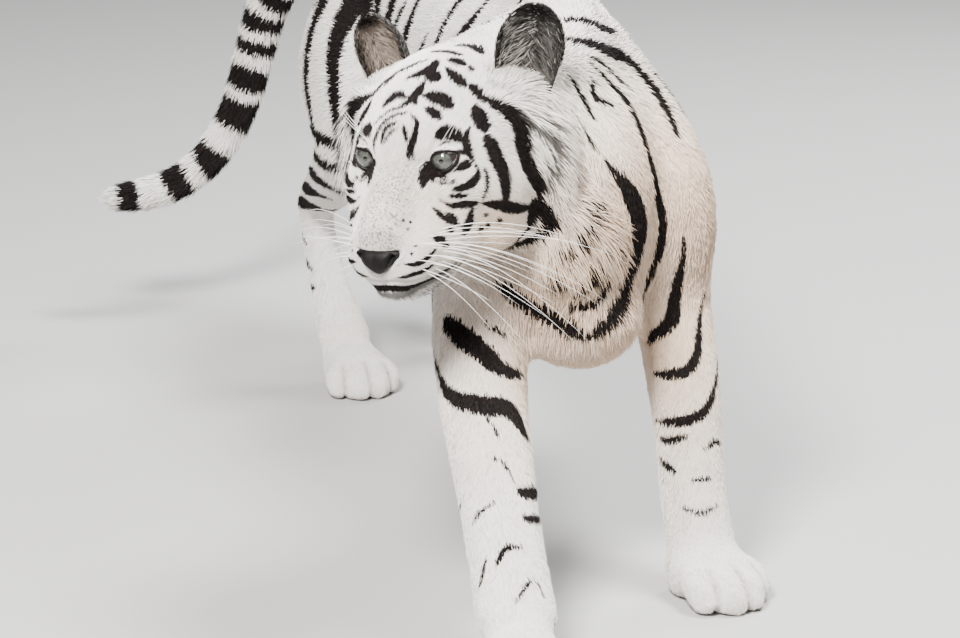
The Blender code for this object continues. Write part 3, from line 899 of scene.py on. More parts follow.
def tail_marks(points):
    """How far points lie from the tail's middle line, and the edges of its rings: below 0 in the black."""
    path = np.array(TAIL)
    lengths = np.r_[0, np.cumsum(np.linalg.norm(np.diff(path, axis=0), axis=1))]
    best, at = np.full(len(points), 1.0), np.zeros(len(points))
    for k, (a, b) in enumerate(zip(path, path[1:])):
        t, gap = share_and_gap(points, a, b, 0 if k else -1)
        closer = gap < best
        best = np.where(closer, gap, best)
        at = np.where(closer, lengths[k] + t * (lengths[k + 1] - lengths[k]), at)
    at = at + 0.004 * waves(points, 0.09, 5)
    white = np.full(len(points), -1.0)
    for low, high in WHITE_RINGS:
        white = np.maximum(white, np.minimum(at - low, high - at))
    white = np.where(at < 0.02, 0.02, white)
    return best, white


def spot(points, place, at, reach):
    return np.exp(-((((local(points, place) - at) / reach) ** 2).sum(1)))


# Spots of colour on both charts of the body: amount, frame, middle and reach.
WARM_SPOTS = [
    (0.95, HEAD, (-0.082, 0.03, -0.100), 0.046),
    (0.95, HEAD, (0.082, 0.03, -0.100), 0.046),
    (0.35, HEAD, (0.055, -0.02, -0.045), 0.030),
    (0.30, HEAD, (0, -0.05, -0.03), 0.04),
    (0.30, HEAD, (0.055, -0.06, -0.085), 0.035),
    (0.85, OWN, (-0.06, -0.44, 0.40), 0.17),
    (0.55, OWN, (0.06, -0.38, 0.42), 0.12),
    (0.35, OWN, (0.10, -0.30, 0.50), (0.16, 0.14, 0.22)),
    (0.55, OWN, (0.02, -0.36, 0.56), 0.15),
    (0.35, OWN, (-0.10, -0.40, 0.30), 0.10),
    (0.22, OWN, (0.11, -0.36, 0.22), 0.10),
]
# Grey spots over the nose pad, down the flanks of the nose bridge and under the eyes: partly the face's own
# grey, partly painted shade there.
GREY_AND_SHADE_SPOTS = [(1.5, HEAD, (0, -0.125, -0.066), (0.020, 0.016, 0.012))]
for s in (-1, 1):
    GREY_AND_SHADE_SPOTS += [
        (1.2, HEAD, (s * 0.026, -0.045, -0.040), (0.012, 0.050, 0.030)),
        (0.9, HEAD, (s * 0.032, -0.075, -0.055), (0.010, 0.030, 0.022)),
        (0.9, HEAD, (s * 0.050, 0.004, -0.020), (0.020, 0.016, 0.014)),
    ]


def spotted(points, spots):
    return sum(amount * spot(points, *where) for amount, *where in spots)


def markings(points, rays):
    """Mark, strength, warmth, speckle, and greyness with painted shade, at points on the skin."""
    head, own = local(points, HEAD), local(points, OWN)
    edge, strength = np.full(len(points), 0.03), np.ones(len(points))

    on_head = head_share(points) > 0.25
    legs = own[:, 2] < 0.50

    def draw(chart, strokes, power=1.0, both_sides=False, anywhere=False, grow=1.0):
        fits = (on_head if chart == "head" else ~on_head) | anywhere
        fits = fits & legs if "leg" in chart else fits
        for s in (1, -1) if both_sides else (1,):
            for run in strokes:
                line = laid(rays, BEARINGS[chart], [(a * s, b, w * grow) for a, b, w in run])
                if len(line) < 2:
                    continue
                low, high = line[:, :3].min(0) - 0.03, line[:, :3].max(0) + 0.03
                near = np.flatnonzero(((points > low) & (points < high)).all(1) & fits)
                gap, half = line_distance(points[near], line)
                closer = gap - half < edge[near]
                edge[near] = np.where(closer, gap - half, edge[near])
                strength[near] = np.where(closer, power, strength[near])

    draw("spine", flank_strokes(), grow=1.3)
    draw("chest", NECK, grow=1.35)
    draw("spine", NECK_RIGHT, grow=1.2)
    draw("chest", JAW, anywhere=True)
    draw("foreleg_left", FORELEG_LEFT)
    draw("foreleg_right", FORELEG_RIGHT)
    for name, side in (("hindleg_right", -1), ("hindleg_left", 1)):
        draw(name, leg_rings(name, (0.445, 0.40, 0.36, 0.32, 0.285), side * 68, 75, 110, 11.5))
        draw(name, leg_rings(name + "_low", (0.22, 0.18, 0.14), side * 100, 35, 65, 6.5))
    draw("head", RUFF, 0.88, both_sides=True, anywhere=True)
    draw("head", RUFF_SHADE, 0.30, both_sides=True)
    draw("head", CROWN + FOREHEAD, grow=1.5)
    draw("head", CHIN_SHADE, 0.78, anywhere=True)
    draw("head", ROUND_THE_EYE + CHEEK, both_sides=True, grow=1.35)
    draw("head", LIPS, both_sides=True, grow=1.4)
    for side in (-1, 1):
        seen = local(points, eye_frame(side))
        rim = np.where(np.linalg.norm(seen, axis=1) < 0.036, -lid_margin(seen, side), 0.03) - 0.0054
        strength = np.where(rim < edge, 1.0, strength)
        edge = np.minimum(edge, rim)
    best, white = tail_marks(own)
    edge = np.where((own[:, 1] > 0.86) & (best < 0.075), white, edge)
    warm = 0.10 + spotted(points, WARM_SPOTS)
    nose_bridge = (1 - ramp(np.abs(head[:, 0]), 0.018, 0.042)) * ramp(-head[:, 1], -0.02, 0.02)
    speckle = nose_bridge * (1 - ramp(head[:, 2], -0.01, 0.03))
    speckle = speckle * (head[:, 1] < 0.03) * (head[:, 2] > -0.09)
    # The nose bridge is painted greyer, partly as its own grey and partly as painted shade.
    tone = 0.80 * nose_bridge * (head[:, 2] > -0.07) * (head[:, 1] < 0.02)
    # Painted shade: the clefts between the toes are painted darker as well as pressed in.
    tone += spotted(points, GREY_AND_SHADE_SPOTS) + 1.5 * (own[:, 2] < SOLE_TOP) + 1.6 * toe_clefts(points)
    return {
        "mark": edge,
        "strength": strength,
        "warm": np.clip(warm, 0, 1),
        "speckle": speckle,
        "tone": np.clip(tone, 0, 2),
    }


# ---------------------------------------------------------------- lie, length and width of the coat
def coat_flow(points, normals):
    """Which way the coat lies: from the nose back over the head, along the body and down the legs."""
    head, own = local(points, HEAD), local(points, OWN)
    turn = np.array(HEAD)[:3, :3]
    from_nose = head - (0, -0.125, -0.075)
    ruff = ramp(np.abs(head[:, 0]), 0.07, 0.13)
    low = ramp(-head[:, 2], 0.06, 0.14)
    sag = ruff * (1 - ramp(head[:, 2], 0.02, 0.09))
    head_way = unit(from_nose) * (1 - 0.55 * sag)[:, None]
    head_way = head_way + np.stack([0 * ruff, 0.5 * low, -1.25 * sag - 0.25 * low], 1)
    head_way = across(head_way @ turn.T, normals)
    body_way = np.tile((0.0, 1.0, -0.28), (len(points), 1))
    front = ramp(-own[:, 1], 0.10, 0.34) * ramp(0.80 - own[:, 2], 0.0, 0.12)
    body_way = body_way * (1 - front[:, None]) + np.array((0.0, 0.28, -1.0)) * front[:, None]
    for path in map(np.array, LEGS.values()):
        for a, b in zip(path, path[1:]):
            pull = 2.6 * bell(share_and_gap(own, a, b)[1], 0.07) * (1 - ramp(own[:, 2], 0.42, 0.56))
            body_way = body_way + unit((b - a)[None, :]) * pull[:, None]
    paw = 1 - ramp(own[:, 2], 0.05, 0.09)
    body_way = body_way + np.array((0, -2.2, -0.4)) * paw[:, None]
    path = np.array(TAIL)
    for a, b in zip(path, path[1:]):
        pull = 6 * bell(share_and_gap(own, a, b)[1], 0.05) * (own[:, 1] > 0.80)
        body_way = body_way - unit((b - a)[None, :]) * pull[:, None]
    body_way = across(body_way, normals)
    on_head = head_share(points)
    return across(head_way * on_head[:, None] + body_way * (1 - on_head[:, None]), normals)


def head_share(points):
    head = local(points, HEAD)
    return (1 - ramp(head[:, 1], 0.155, 0.215)) * ramp(head[:, 2], -0.235, -0.185)


def coat_build(points):
    """Length, width, lift in degrees and cover of the tufts at points on the skin."""
    head, own = local(points, HEAD), local(points, OWN)
    on_head = head_share(points)
    from_muzzle = np.linalg.norm((head - (0, -0.075, -0.08)) / (1, 1.1, 1), axis=1)
    muzzle = 1 - ramp(from_muzzle, 0.045, 0.085)
    forehead = ramp(head[:, 2], -0.03, 0.06)
    ruff = ramp(np.abs(head[:, 0]), 0.085, 0.120) * ramp(head[:, 1], 0.075, 0.125)
    ruff = ruff * (1 - ramp(head[:, 2], 0.03, 0.07))
    chin = bell(head[:, 1] + 0.055, 0.05) * ramp(-head[:, 2], 0.128, 0.150)
    throat = ramp(-head[:, 2], 0.15, 0.19) * ramp(head[:, 1], 0.0, 0.06)
    ears = sum(spot(points, HEAD, (0.085 * s, 0.135, 0.040), 0.032) for s in (-1, 1))
    length = 0.0078 + 0.012 * ears + 0.001 * forehead - 0.0040 * muzzle
    length = length + 0.030 * ruff + 0.014 * chin + 0.016 * throat
    width = 0.0010 - 0.0003 * muzzle + 0.0006 * ruff
    lift = 13 + 7 * ruff + 16 * chin - 2 * muzzle
    belly = ramp(own[:, 1], -0.2, 0.0) * (1 - ramp(own[:, 1], 0.50, 0.62))
    belly = belly * (1 - ramp(own[:, 2], 0.36, 0.48))
    chest = ramp(-own[:, 1], 0.28, 0.40) * (1 - ramp(own[:, 2], 0.40, 0.52))
    chest = chest * (1 - ramp(np.abs(own[:, 0] + 0.05), 0.10, 0.15))
    limb = 1 - ramp(own[:, 2], 0.30, 0.44)
    paw = 1 - ramp(own[:, 2], 0.08, 0.14)
    tail = ramp(own[:, 1], 0.92, 1.0) * (own[:, 2] > 0.18)
    limb = limb * (1 - tail)
    body_length = 0.0140 + 0.014 * belly + 0.008 * chest * (1 - limb)
    body_length = body_length - 0.004 * limb - 0.004 * paw + 0.005 * tail
    body_width = 0.0017 - 0.0003 * limb - 0.0003 * paw
    body_lift = 11 + 8 * belly + 6 * chest + 5 * tail - 1 * limb
    pairs = (length, body_length), (width, body_width), (lift, body_lift)
    length, width, lift = (head_value * on_head + value * (1 - on_head) for head_value, value in pairs)
    cover = np.full(len(points), 1.8) + 1.4 * on_head
    for side in (-1, 1):
        seen = local(points, eye_frame(side))
        rim = np.where(np.linalg.norm(seen, axis=1) < 0.04, -lid_margin(seen, side), 0.03)
        cover = cover * (rim > 0.0034)
        length = length * (0.45 + 0.55 * ramp(rim, 0.003, 0.014))
    pad = head - np.array(NOSE_AT)
    high = pad[:, 2] / 0.0175
    bare = (np.abs(pad[:, 0]) < 0.96 * nose_width(high)) & (np.abs(high) < 0.97) & (pad[:, 1] < 0.03)
    cover = np.where(bare, 0, cover)
    cover = np.where(own[:, 2] < 0.0035, 0, cover)
    return length, width, lift, cover


# ---------------------------------------------------------------- tufts
def tuft_mesh(name, roots, tips, sides, ups, bends, values, patches):
    """Tapered locks, each with three faces, or nine where it bends, joined as one mesh."""
    count, bent = len(roots), bends is not None
    rows = [roots - sides, roots + sides, roots + ups]
    along, patch = [0, 0, 0], [(-0.0013, -0.0013), (0.0013, -0.0013), (0, -0.0005)]
    walls = (0, 2), (2, 1), (1, 0)
    faces = [(a, b, 3) for a, b in walls]
    if bent:
        rows += [bends - sides * 0.7, bends + sides * 0.7, bends + ups * 0.7]
        along, patch = along + [0.5] * 3, patch + [(-0.0009, 0), (0.0009, 0), (0, 0.0005)]
        faces = [((a, b, b + 3), (a, b + 3, a + 3), (a + 3, b + 3, 6)) for a, b in walls]
    places = np.stack([*rows, tips], 1)
    per = places.shape[1]
    faces = np.array(faces).reshape(-1, 3)
    corners = (np.arange(count)[:, None, None] * per + faces[None]).reshape(-1)
    mesh = bpy.data.meshes.new(name)
    mesh.vertices.add(count * per)
    mesh.vertices.foreach_set("co", places.astype(np.float32).ravel())
    mesh.loops.add(len(corners))
    mesh.loops.foreach_set("vertex_index", corners.astype(np.int32))
    mesh.polygons.add(len(corners) // 3)
    mesh.polygons.foreach_set("loop_start", np.arange(0, len(corners), 3, dtype=np.int32))
    mesh.update(calc_edges=True)
    for key, value in values.items():
        put_attribute(mesh, key, np.repeat(value, per))
    put_attribute(mesh, "along", np.tile([*along, 1], count))
    patch = np.array([*patch, (0, 0.0015)])
    uv = (patches[:, None, :] + patch[None]).reshape(-1, 2)[corners]
    layer = mesh.uv_layers.new(name="OFBake")
    layer.data.foreach_set("uv", uv.astype(np.float32).ravel())
    return mesh


def triangles_of(mesh, map_name):
    mesh.calc_loop_triangles()
    count = len(mesh.loop_triangles)
    corners, loops = np.empty(count * 3, np.int32), np.empty(count * 3, np.int32)
    mesh.loop_triangles.foreach_get("vertices", corners)
    mesh.loop_triangles.foreach_get("loops", loops)
    uv = np.empty(len(mesh.loops) * 2, np.float32)
    mesh.uv_layers[map_name].data.foreach_get("uv", uv)
    return corners.reshape(-1, 3), uv.reshape(-1, 2)[loops].reshape(-1, 3, 2)


def tufts_per_face(places, corners, density):
    a, b, c = (places[corners[:, k]] for k in range(3))
    area = np.linalg.norm(np.cross(b - a, c - a), axis=1) / 2
    return area * density[corners].mean(1)


def scatter(places, corners, density):
    """Seeded places on triangles: which triangle, and the three shares."""
    total = np.cumsum(tufts_per_face(places, corners, density))
    count = int(total[-1])
    at = np.searchsorted(total, (np.arange(count) + RANDOM.random(count)) * total[-1] / count)
    at = np.minimum(at, len(corners) - 1)
    u, v = RANDOM.random(count), RANDOM.random(count)
    over = u + v > 1
    u, v = np.where(over, 1 - u, u), np.where(over, 1 - v, v)
    return at, np.stack([1 - u - v, u, v], 1)


def spread(values, corners, at, shares):
    """Values at scattered places, from those at the corners."""
    picked = values[corners[at]]
    if values.ndim == 1:
        return (picked * shares).sum(1)
    return (picked * shares[:, :, None]).sum(1)


def patches_at(uv, at, shares):
    return np.clip((uv[at] * shares[:, :, None]).sum(1), 0.002, 0.998)


def leant(way, out, rise, length):
    """Steps of a length along a way that rises off the surface."""
    return (way * np.cos(rise)[:, None] + out * np.sin(rise)[:, None]) * length[:, None]


def region_of(points):
    """Which coat piece a root belongs to."""
    own = local(points, OWN)
    on_head = head_share(points) > 0.5
    head = local(points, HEAD)
    names = np.full(len(points), "trunk", dtype=object)
    names[own[:, 1] < -0.18] = "neck"
    names[own[:, 1] > 0.90] = "tail_base"
    leg = own[:, 2] < 0.44
    for name, path in LEGS.items():
        low, high = np.array(path).min(0) - 0.11, np.array(path).max(0) + 0.11
        same_side = np.sign(own[:, 0] + 0.045) == np.sign(path[0][0] + 0.045)
        near = leg & same_side & (own[:, 1] > low[1]) & (own[:, 1] < high[1])
        near &= own[:, 1] > 0.40 if "hind" in name else own[:, 2] < 0.40
        names[near] = name
    names[own[:, 1] > 1.0] = "tail_middle"
    names[on_head] = "head"
    names[on_head & (head[:, 1] < 0.055)] = "face"
    return names


def grow_coat(mesh, rays, material):
    """The coat in pieces by region, its tufts coloured by the markings under their tips."""
    places, normals = places_of(mesh), normals_of(mesh)
    corners, uv = triangles_of(mesh, "OFBake")
    length, width, lift, cover = coat_build(places)
    density = cover / (0.5 * length * width)
    wanted = tufts_per_face(places, corners, density).sum()
    share = 1.0 * min(1.0, TUFT_BUDGET / wanted)
    at, shares = scatter(places, corners, density * share)
    flow = coat_flow(places, normals)
    roots = spread(places, corners, at, shares)
    out = unit(spread(normals, corners, at, shares))
    way = across(spread(flow, corners, at, shares), out)
    length, width, lift = (spread(v, corners, at, shares) for v in (length, width, lift))
    width = width * ((share**-0.4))
    count = len(roots)
    turn = 0.22 * waves(roots, 0.030, 11) + 0.14 * waves(roots, 0.011, 12)
    turn = turn + RANDOM.normal(0, 0.13, count)
    side = np.cross(way, out)
    way = way * np.cos(turn)[:, None] + side * np.sin(turn)[:, None]
    rise = np.radians(lift * (1 + 0.35 * waves(roots, 0.024, 13)) + RANDOM.normal(0, 4, count))
    rise = np.clip(rise, math.radians(4), math.radians(50))
    length = length * RANDOM.uniform(0.72, 1.18, count)
    side = np.cross(way, out)
    tips = roots + leant(way, out, rise, length)
    roots = roots - out * 0.0006
    ahead = roots + way * (length * 0.62)[:, None]
    for k in np.flatnonzero(length > LONG_TUFT):
        ahead[k] = rays.find_nearest(ahead[k])[0]
    values = markings(ahead, rays)
    values["mark"] = values["mark"] + RANDOM.normal(0, 0.0005, count)
    streaks = np.abs(RANDOM.normal(0, 0.50, count)) + 0.30 * waves(roots, 0.014, 17)
    values["tone"] = np.clip(values["tone"] + streaks - 0.15, 0, 2)
    patches = patches_at(uv, at, shares)
    names = region_of(roots)
    wide = side * (width / 2)[:, None]
    up = out * (width * 0.45)[:, None]
    drop = np.array((0, 0, -1.0)) * (0.20 * np.maximum(length - 0.020, 0))[:, None]
    for name in sorted(set(names)):
        chosen = np.flatnonzero(names == name)
        bent = name in ("head", "neck")
        limit = PIECE_TUFTS // 3 if bent else PIECE_TUFTS
        parts = -(-len(chosen) // limit)
        chosen = chosen[np.argsort(local(roots[chosen], OWN)[:, 1], kind="stable")]
        for k, some in enumerate(np.array_split(chosen, parts)):
            bends, ends, title = None, tips[some], f"coat_{name}_{k + 1}"
            if bent:
                bends = (roots[some] + tips[some]) / 2 + out[some] * (0.06 * length[some])[:, None]
                ends = ends + drop[some]
            part = tuft_mesh(title, roots[some], ends, wide[some], up[some], bends,
                             {key: value[some] for key, value in values.items()}, patches[some])
            stand(title, part, "head" if name == "face" else name, material, smooth=False)


# ---------------------------------------------------------------- eyes, nose, ears and whiskers
def eye_finish():
    finish = Finish("eye_glass", roughness=0.06, Coat_Weight=1.0, Coat_Roughness=0.02)
    far, angle = finish.attribute("from_pupil"), finish.attribute("round_pupil")
    far_mm = far * 1000
    where = finish.node("ShaderNodeCombineXYZ", inputs={0: angle * 7.0, 1: far * 90.0, 2: 0.0})
    rays = finish.noise(1.6, 3.0, where)
    iris = finish.mix(rays.step(0.3, 0.75), (0.026, 0.031, 0.026), (0.080, 0.089, 0.074))
    iris = finish.mix(far_mm.step(3.2, 6.4), (0.07, 0.07, 0.055), iris)
    iris = finish.mix(far_mm.step(10.2, 12.0), iris, (0.03, 0.032, 0.03))
    colour = finish.mix(far_mm.step(12.2, 12.8), iris, (0.020, 0.013, 0.011))
    return finish.wear(Base_Color=finish.mix(far_mm.step(3.0, 3.5), (0.003, 0.003, 0.003), colour))


def add_eye(side, name, material):
    """A glass eye with its cornea's bulge, set behind the lids."""
    clay = bmesh.new()
    bmesh.ops.create_uvsphere(clay, u_segments=64, v_segments=48, radius=EYE_RADIUS)
    gaze = HEAD @ Matrix.Translation(eye_centre(side)) @ turned(9 + 4 * side, "Z") @ turned(-14, "X")
    clay.transform(turned(90, "X"))
    for vert in clay.verts:
        far = math.hypot(vert.co.x, vert.co.z)
        if vert.co.y < 0 and far < CORNEA_RADIUS:
            vert.co.y -= CORNEA_RISE * (1 - (far / CORNEA_RADIUS) ** 2)
    seen = np.array([v.co for v in clay.verts])
    clay.transform(gaze)
    mesh = clay_mesh("eye_ball_" + name, clay)
    put_attribute(mesh, "from_pupil", np.where(seen[:, 1] < 0, np.hypot(seen[:, 0], seen[:, 2]), 0.02))
    put_attribute(mesh, "round_pupil", np.arctan2(seen[:, 0], seen[:, 2]))
    eye = stand("eye_ball_" + name, mesh, "eye_" + name, material)
    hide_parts("eye_" + name)


def ring(clay, place, radius, segments, cap=False):
    """The edges of a new circle."""
    made = bmesh.ops.create_circle(clay, cap_ends=cap, segments=segments, radius=radius, matrix=place)
    return {e for v in made["verts"] for e in v.link_edges}


def add_lid_rim(side, name, material):
    """The wet black edge of the lids, a thin round bead along their opening."""
    place = eye_frame(side)
    clay = bmesh.new()
    before = first = None
    lefts = LIDS_MIDDLE + LIDS_HALF * np.cos(np.linspace(0, math.pi, 41))
    ways = [(a, lid_line(a, True)) for a in lefts] + [(a, lid_line(a, False)) for a in lefts[-2:0:-1]]
    line = []
    for left, up in ways:
        left, up = math.radians(left) * side, math.radians(up)
        way = Vector((math.sin(left) * math.cos(up), -math.cos(left) * math.cos(up), math.sin(up)))
        line.append(way * (EYE_RADIUS + 0.0006))
    for k, here in enumerate(line):
        ahead = (line[(k + 1) % len(line)] - line[k - 1]).normalized()
        out = here.normalized()
        stand_at = Matrix.Identity(4)
        for j, axis in enumerate((out, ahead.cross(out), ahead)):
            stand_at.col[j][:3] = axis
        stand_at.translation = here
        loop = ring(clay, place @ stand_at, LID_BEAD, 8)
        if before:
            bmesh.ops.bridge_loops(clay, edges=list(before | loop))
        before, first = loop, first or loop
    bmesh.ops.bridge_loops(clay, edges=list(before | first))
    bmesh.ops.recalc_face_normals(clay, faces=clay.faces)
    stand("lid_rim_" + name, clay_mesh("lid_rim_" + name, clay), "eye_" + name, material)


def nose_width(z):
    """Half the nose pad's width, broad above and narrow below, from -1 to 1."""
    return 0.0350 * (0.16 + 0.84 * np.clip((z + 1) / 1.55, 0, 1) ** 0.85)


def add_nose(material):
    """The nose pad with its comma nostrils and the groove down its middle."""
    clay = bmesh.new()
    bmesh.ops.create_uvsphere(clay, u_segments=96, v_segments=64, radius=1)
    clay.transform(turned(90, "X"))
    for vert in clay.verts:
        x, y, z = vert.co
        side = abs(x) / max(math.sqrt(max(1 - z * z, 0)), 0.05)
        nostril = math.exp(-(((side - 0.66 - 0.10 * z) / 0.13) ** 2) - ((z - 0.30) / 0.34) ** 2)
        slit = math.exp(-(((side - 0.93) / 0.10) ** 2) - ((z - 0.05) / 0.30) ** 2)
        groove = math.exp(-((x / 0.05) ** 2)) * (1 - z) * 0.5
        ease = 0.0120 * nostril + 0.0060 * slit + 0.0020 * groove
        square = math.copysign(abs(z) ** 0.8, z) if z > 0 else z
        depth = y * 0.0165 + (ease if y < 0 else 0)
        out = nose_width(z) * min(1.0, abs(x) ** 0.85 if z > 0 else abs(x))
        vert.co = Vector((math.copysign(out, x), depth - 0.001 * z, 0.0180 * square + 0.0015 * x * x))
    clay.transform(HEAD @ Matrix.Translation(NOSE_AT))
    nose = stand("nose_pad", clay_mesh("nose_pad", clay), "nose", material)
    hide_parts("nose")


def nose_finish():
    finish = Finish("nose_leather", roughness=0.55, Specular_IOR_Level=0.14)
    cells = finish.node("ShaderNodeTexVoronoi", inputs={"Vector": finish.places(), "Scale": 620.0})
    mottled = finish.noise(60.0, 3.0)
    colour = finish.mix(mottled.step(0.35, 0.8), (0.003, 0.003, 0.003), (0.009, 0.007, 0.006))
    return finish.wear(Base_Color=colour, Normal=finish.bump(cells, 0.5, 0.0006))


def strand_rows(root, way, drop, length, thick, count=9):
    """Centres and radii of a hair that starts along a way and sinks towards its end."""
    rows = []
    for t in np.linspace(0, 1, count):
        rows.append((root + way * length * t + drop * length * t * t, thick * (1 - t) ** 0.7 + 0.00008))
    return rows


def hair_tubes(name, strands, slot, material):
    """Tapered four-sided hairs, bridged ring by ring."""
    clay = bmesh.new()
    for rows in strands:
        before = None
        for k, (centre, radius) in enumerate(rows):
            ahead = (rows[min(k + 1, len(rows) - 1)][0] - rows[max(k - 1, 0)][0]).normalized()
            turn = ahead.to_track_quat("Z", "Y").to_matrix().to_4x4()
            loop = ring(clay, Matrix.Translation(centre) @ turn, radius, 4, k in (0, len(rows) - 1))
            if before:
                bmesh.ops.bridge_loops(clay, edges=list(before | loop))
            before = loop
    bmesh.ops.recalc_face_normals(clay, faces=clay.faces)
    return stand(name, clay_mesh(name, clay), slot, material)


def add_whiskers(rays, material):
    """Four rows of whiskers on each side of the muzzle and three long hairs over each eye."""
    pick = np.random.default_rng(4)
    turn = HEAD.to_3x3()
    for side, name in ((1, "left"), (-1, "right")):
        strands = []
        for row, (count, up) in enumerate(((5, -9), (6, -14), (6, -19), (5, -24))):
            for k in range(count):
                left = 15 + 3.4 * k + row
                start, way = BEARINGS["head"](side * left, up - 0.35 * k + pick.uniform(-0.8, 0.8))
                root = rays.ray_cast(start, way)[0]
                if root is None:
                    continue
                back = 0.10 + 0.10 * k + pick.uniform(-0.08, 0.08)
                aim = Vector((side, back, 0.10 - 0.20 * row + pick.uniform(-0.1, 0.1)))
                drop = Vector((0, 0.18, -0.36 - 0.09 * row + pick.uniform(-0.22, 0.22)))
                length = 0.085 + 0.018 * k + pick.uniform(-0.015, 0.02)
                way = (turn @ aim).normalized()
                strands.append(strand_rows(root, way, turn @ drop, length, WHISKER_THICK))
        for k in range(3):
            start, way = BEARINGS["head"](side * (36 + 5 * k), 48 + 2 * k)
            root = rays.ray_cast(start, way)[0]
            aim = Vector((side * 0.55, -0.35, 0.75 + 0.1 * k)).normalized()
            drop = turn @ Vector((side * 0.1, 0.35, 0.0))
            strands.append(strand_rows(root, turn @ aim, drop, 0.05, BROW_HAIR_THICK))
        hair_tubes("whiskers_" + name, strands, "head", material)


def ear_surface(name):
    clay = solid_copy(name)
    for _ in range(2):
        bmesh.ops.subdivide_edges(clay, edges=clay.edges, cuts=1, use_grid_fill=True)
        axes = {"use_axis_x": True, "use_axis_y": True, "use_axis_z": True}
        bmesh.ops.smooth_vert(clay, verts=clay.verts, factor=0.5, **axes)
    return clay_mesh("ear_shell_" + name, clay)


def ear_frame(side):
    at, (pitch, roll, yaw) = (0.092, 0.160, 0.014), (-8, 20, 24)
    if side < 0:
        at, (pitch, roll, yaw) = (-0.080, 0.160, 0.010), (-10, -20, -15)
    turn = turned(yaw, "Z") @ turned(roll, "Y")
    return HEAD @ Matrix.Translation(at) @ turn @ turned(pitch, "X")


def add_ear(side, name, skin_material, coat_material):
    """An ear with short fur on its back, a dark rim, long pale hairs inside and painted shade in its
    hollow.
    """
    mesh, place = ear_surface("ear_" + name), ear_frame(side)
    places, normals = places_of(mesh), normals_of(mesh)
    seen, turn = local(places, place), np.array(place)[:3, :3]
    facing = normals @ turn
    inside = ramp(-facing[:, 1], -0.1, 0.3)
    height = seen[:, 2] / (0.135 if side > 0 else 0.120)
    wide = EAR_HALF * np.interp(height, (0, 0.5, 0.75, 0.9, 1.0), (0.85, 0.98, 0.92, 0.70, 0.30))
    rim = np.maximum(ramp(np.abs(seen[:, 0]) / wide, 0.66, 0.92), ramp(height, 0.80, 0.93))
    white_spot = np.hypot(seen[:, 0] / 0.020, (height - 0.66) / 0.15) < 1
    pale_back = white_spot | (height < 0.40)
    # Painted shade: the inside of the ear is painted dark and grey as shade in its hollow, darker in the
    # left ear than in the right, rising to the black rim; the shell also takes the painted root shade of
    # the coat.
    shade = 0.88 if side > 0 else 0.55
    dark = np.where(inside > 0.5, shade + (0.98 - shade) * rim, 0.97)
    fields = {
        "mark": np.where((inside <= 0.5) & pale_back, 0.005, -0.005),
        "strength": dark,
        "warm": (0.15 if side > 0 else 0.70) * inside,
        "speckle": np.zeros(len(places)),
        "tone": 0.6 * inside,
    }
    put_fields(mesh, fields, 0.0)
    unwrap(mesh)
    shell = stand("ear_shell_" + name, mesh, "ear_" + name, skin_material)
    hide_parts("ear_" + name)
    corners, uv = triangles_of(mesh, "OFBake")
    deep = inside * ramp(0.045 - np.abs(seen[:, 0]), 0, 0.02)
    length = 0.0070 + 0.022 * deep * (1 - ramp(height, 0.60, 0.9))
    density = (1.6 - 0.7 * deep) / (0.5 * length * 0.0011) * (height > 0.28)
    at, shares = scatter(places, corners, density * (1))
    roots, out = spread(places, corners, at, shares), unit(spread(normals, corners, at, shares))
    spot_in = local(roots, place)
    open_way = np.tile((0.0, -0.25, 0.85), (len(roots), 1))
    open_way[:, 0] = -0.5 * np.sign(spot_in[:, 0])
    way = across(open_way @ turn.T + RANDOM.normal(0, 0.16, (len(roots), 3)), out)
    deep_at, length_at = spread(deep, corners, at, shares), spread(length, corners, at, shares)
    rise = np.radians(14 + 26 * deep_at + RANDOM.normal(0, 5, len(roots)))
    length_at = length_at * RANDOM.uniform(0.7, 1.2, len(roots))
    tips = roots + leant(way, out, rise, length_at)
    values = {key: spread(value, corners, at, shares) for key, value in fields.items()}
    inner = -side * spot_in[:, 0] / EAR_HALF
    odds = 0.03 + 0.40 * ramp(inner, -0.5, 0.6) * (1 - ramp(spread(height, corners, at, shares), 0.72, 0.9))
    light = (deep_at > 0.2) & (RANDOM.random(len(roots)) < odds)
    paler = RANDOM.uniform(0.05, 0.45, len(roots))
    darker = np.clip(values["strength"] + RANDOM.normal(0, 0.08, len(roots)), 0, 1)
    values["strength"] = np.where(light, paler, darker)
    side_way = np.cross(way, out) * 0.00072
    patches = patches_at(uv, at, shares)
    bends = (roots + tips) / 2 + out * (0.10 * length_at)[:, None]
    part = tuft_mesh("coat_ear_" + name, roots, tips, side_way, out * 0.0005, bends, values, patches)
    stand("coat_ear_" + name, part, "ear_" + name, coat_material, smooth=False)


# ---------------------------------------------------------------- stage
def add_floor():
    clay = bmesh.new()
    bmesh.ops.create_grid(clay, x_segments=1, y_segments=1, size=30)
    paint = Finish("floor_paint", roughness=0.9, Base_Color=(0.44, 0.435, 0.43, 1))
    floor = in_scene("floor", clay_mesh("floor", clay))
    floor.data.materials.append(paint.material)


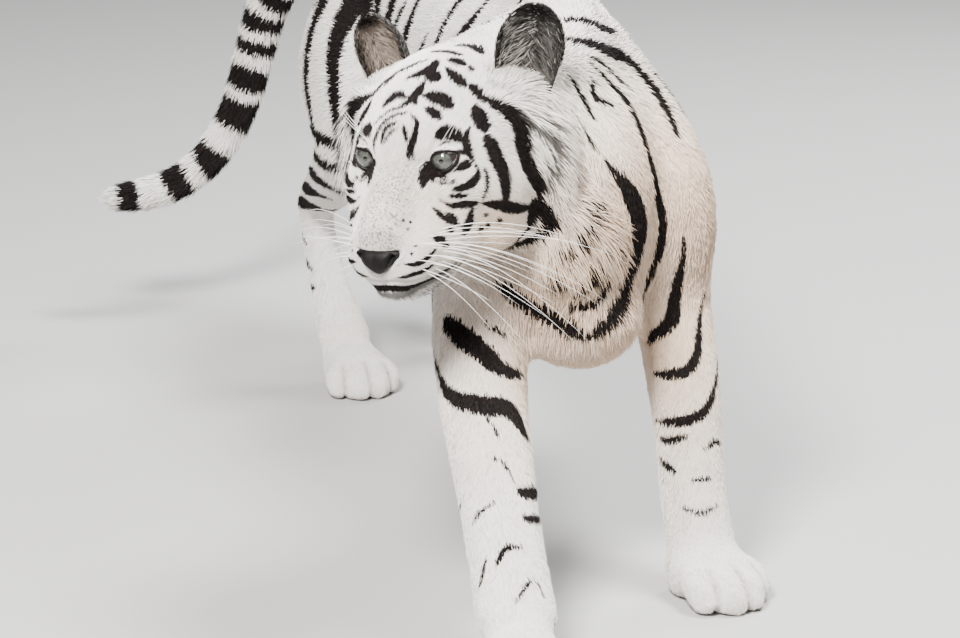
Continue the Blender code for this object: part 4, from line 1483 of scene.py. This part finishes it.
def add_light(name, at, aim, power, size, colour=(1, 1, 1)):
    lamp = bpy.data.lights.new(name, "AREA")
    lamp.energy, lamp.size, lamp.color = power, size, colour
    obj = in_scene(name, lamp)
    obj.location = at
    obj.rotation_euler = (Vector(aim) - Vector(at)).to_track_quat("-Z", "Y").to_euler()


def add_camera():
    """A long lens in front, a little to the tiger's right and above it."""
    azimuth, down = math.radians(-14), math.radians(15.5)
    data = bpy.data.cameras.new("camera")
    data.lens, data.sensor_width = 146.25, 36.0
    data.clip_end = 100
    camera = in_scene("camera", data)
    camera.location = OWN @ Vector((-1.403, -5.215, 1.790))
    level = math.cos(down)
    way = Vector((-math.sin(azimuth) * level, math.cos(azimuth) * level, -math.sin(down)))
    camera.rotation_euler = way.to_track_quat("-Z", "Y").to_euler()
    bpy.context.scene.camera = camera


def main():
    add_camera()
    add_floor()
    world = bpy.data.worlds.new("studio")
    bpy.context.scene.world = world
    world.use_nodes = True
    sky = world.node_tree.nodes["Background"].inputs
    sky["Color"].default_value, sky["Strength"].default_value = (0.93, 0.95, 1.0, 1), 0.27
    add_light("key", (-1.8, -3.2, 3.8), (0, -0.3, 0.5), 800, 1.1, (1.0, 0.98, 0.95))
    add_light("top", (1.2, -0.8, 4.0), (0, 0.0, 0.5), 330, 1.2)
    add_light("rim", (2.6, 2.0, 2.6), (0, 0.0, 0.5), 170, 1.4)

    skin_material, coat_material = fur_finish("tiger_skin", True), fur_finish("tiger_coat", False)
    mesh = build_skin()
    unwrap(mesh)
    places = places_of(mesh)
    rays = surface_of(mesh, places)
    # The skin takes along 0.2, so it carries nearly the full painted root shade of the coat.
    put_fields(mesh, markings(places, rays), 0.2)
    skin = stand("tiger_skin", mesh, "trunk", skin_material)
    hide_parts(*FLESH)
    grow_coat(mesh, rays, coat_material)

    glass = eye_finish()
    rim = Finish("lid_edge", roughness=0.25, Base_Color=(0.012, 0.010, 0.009, 1))
    hair = Finish("whisker_hair", roughness=0.35, Base_Color=(0.90, 0.88, 0.84, 1))
    for side, name in ((1, "left"), (-1, "right")):
        add_eye(side, name, glass)
        add_lid_rim(side, name, rim.material)
        add_ear(side, name, skin_material, coat_material)
    add_nose(nose_finish())
    add_whiskers(rays, hair.material)


main()
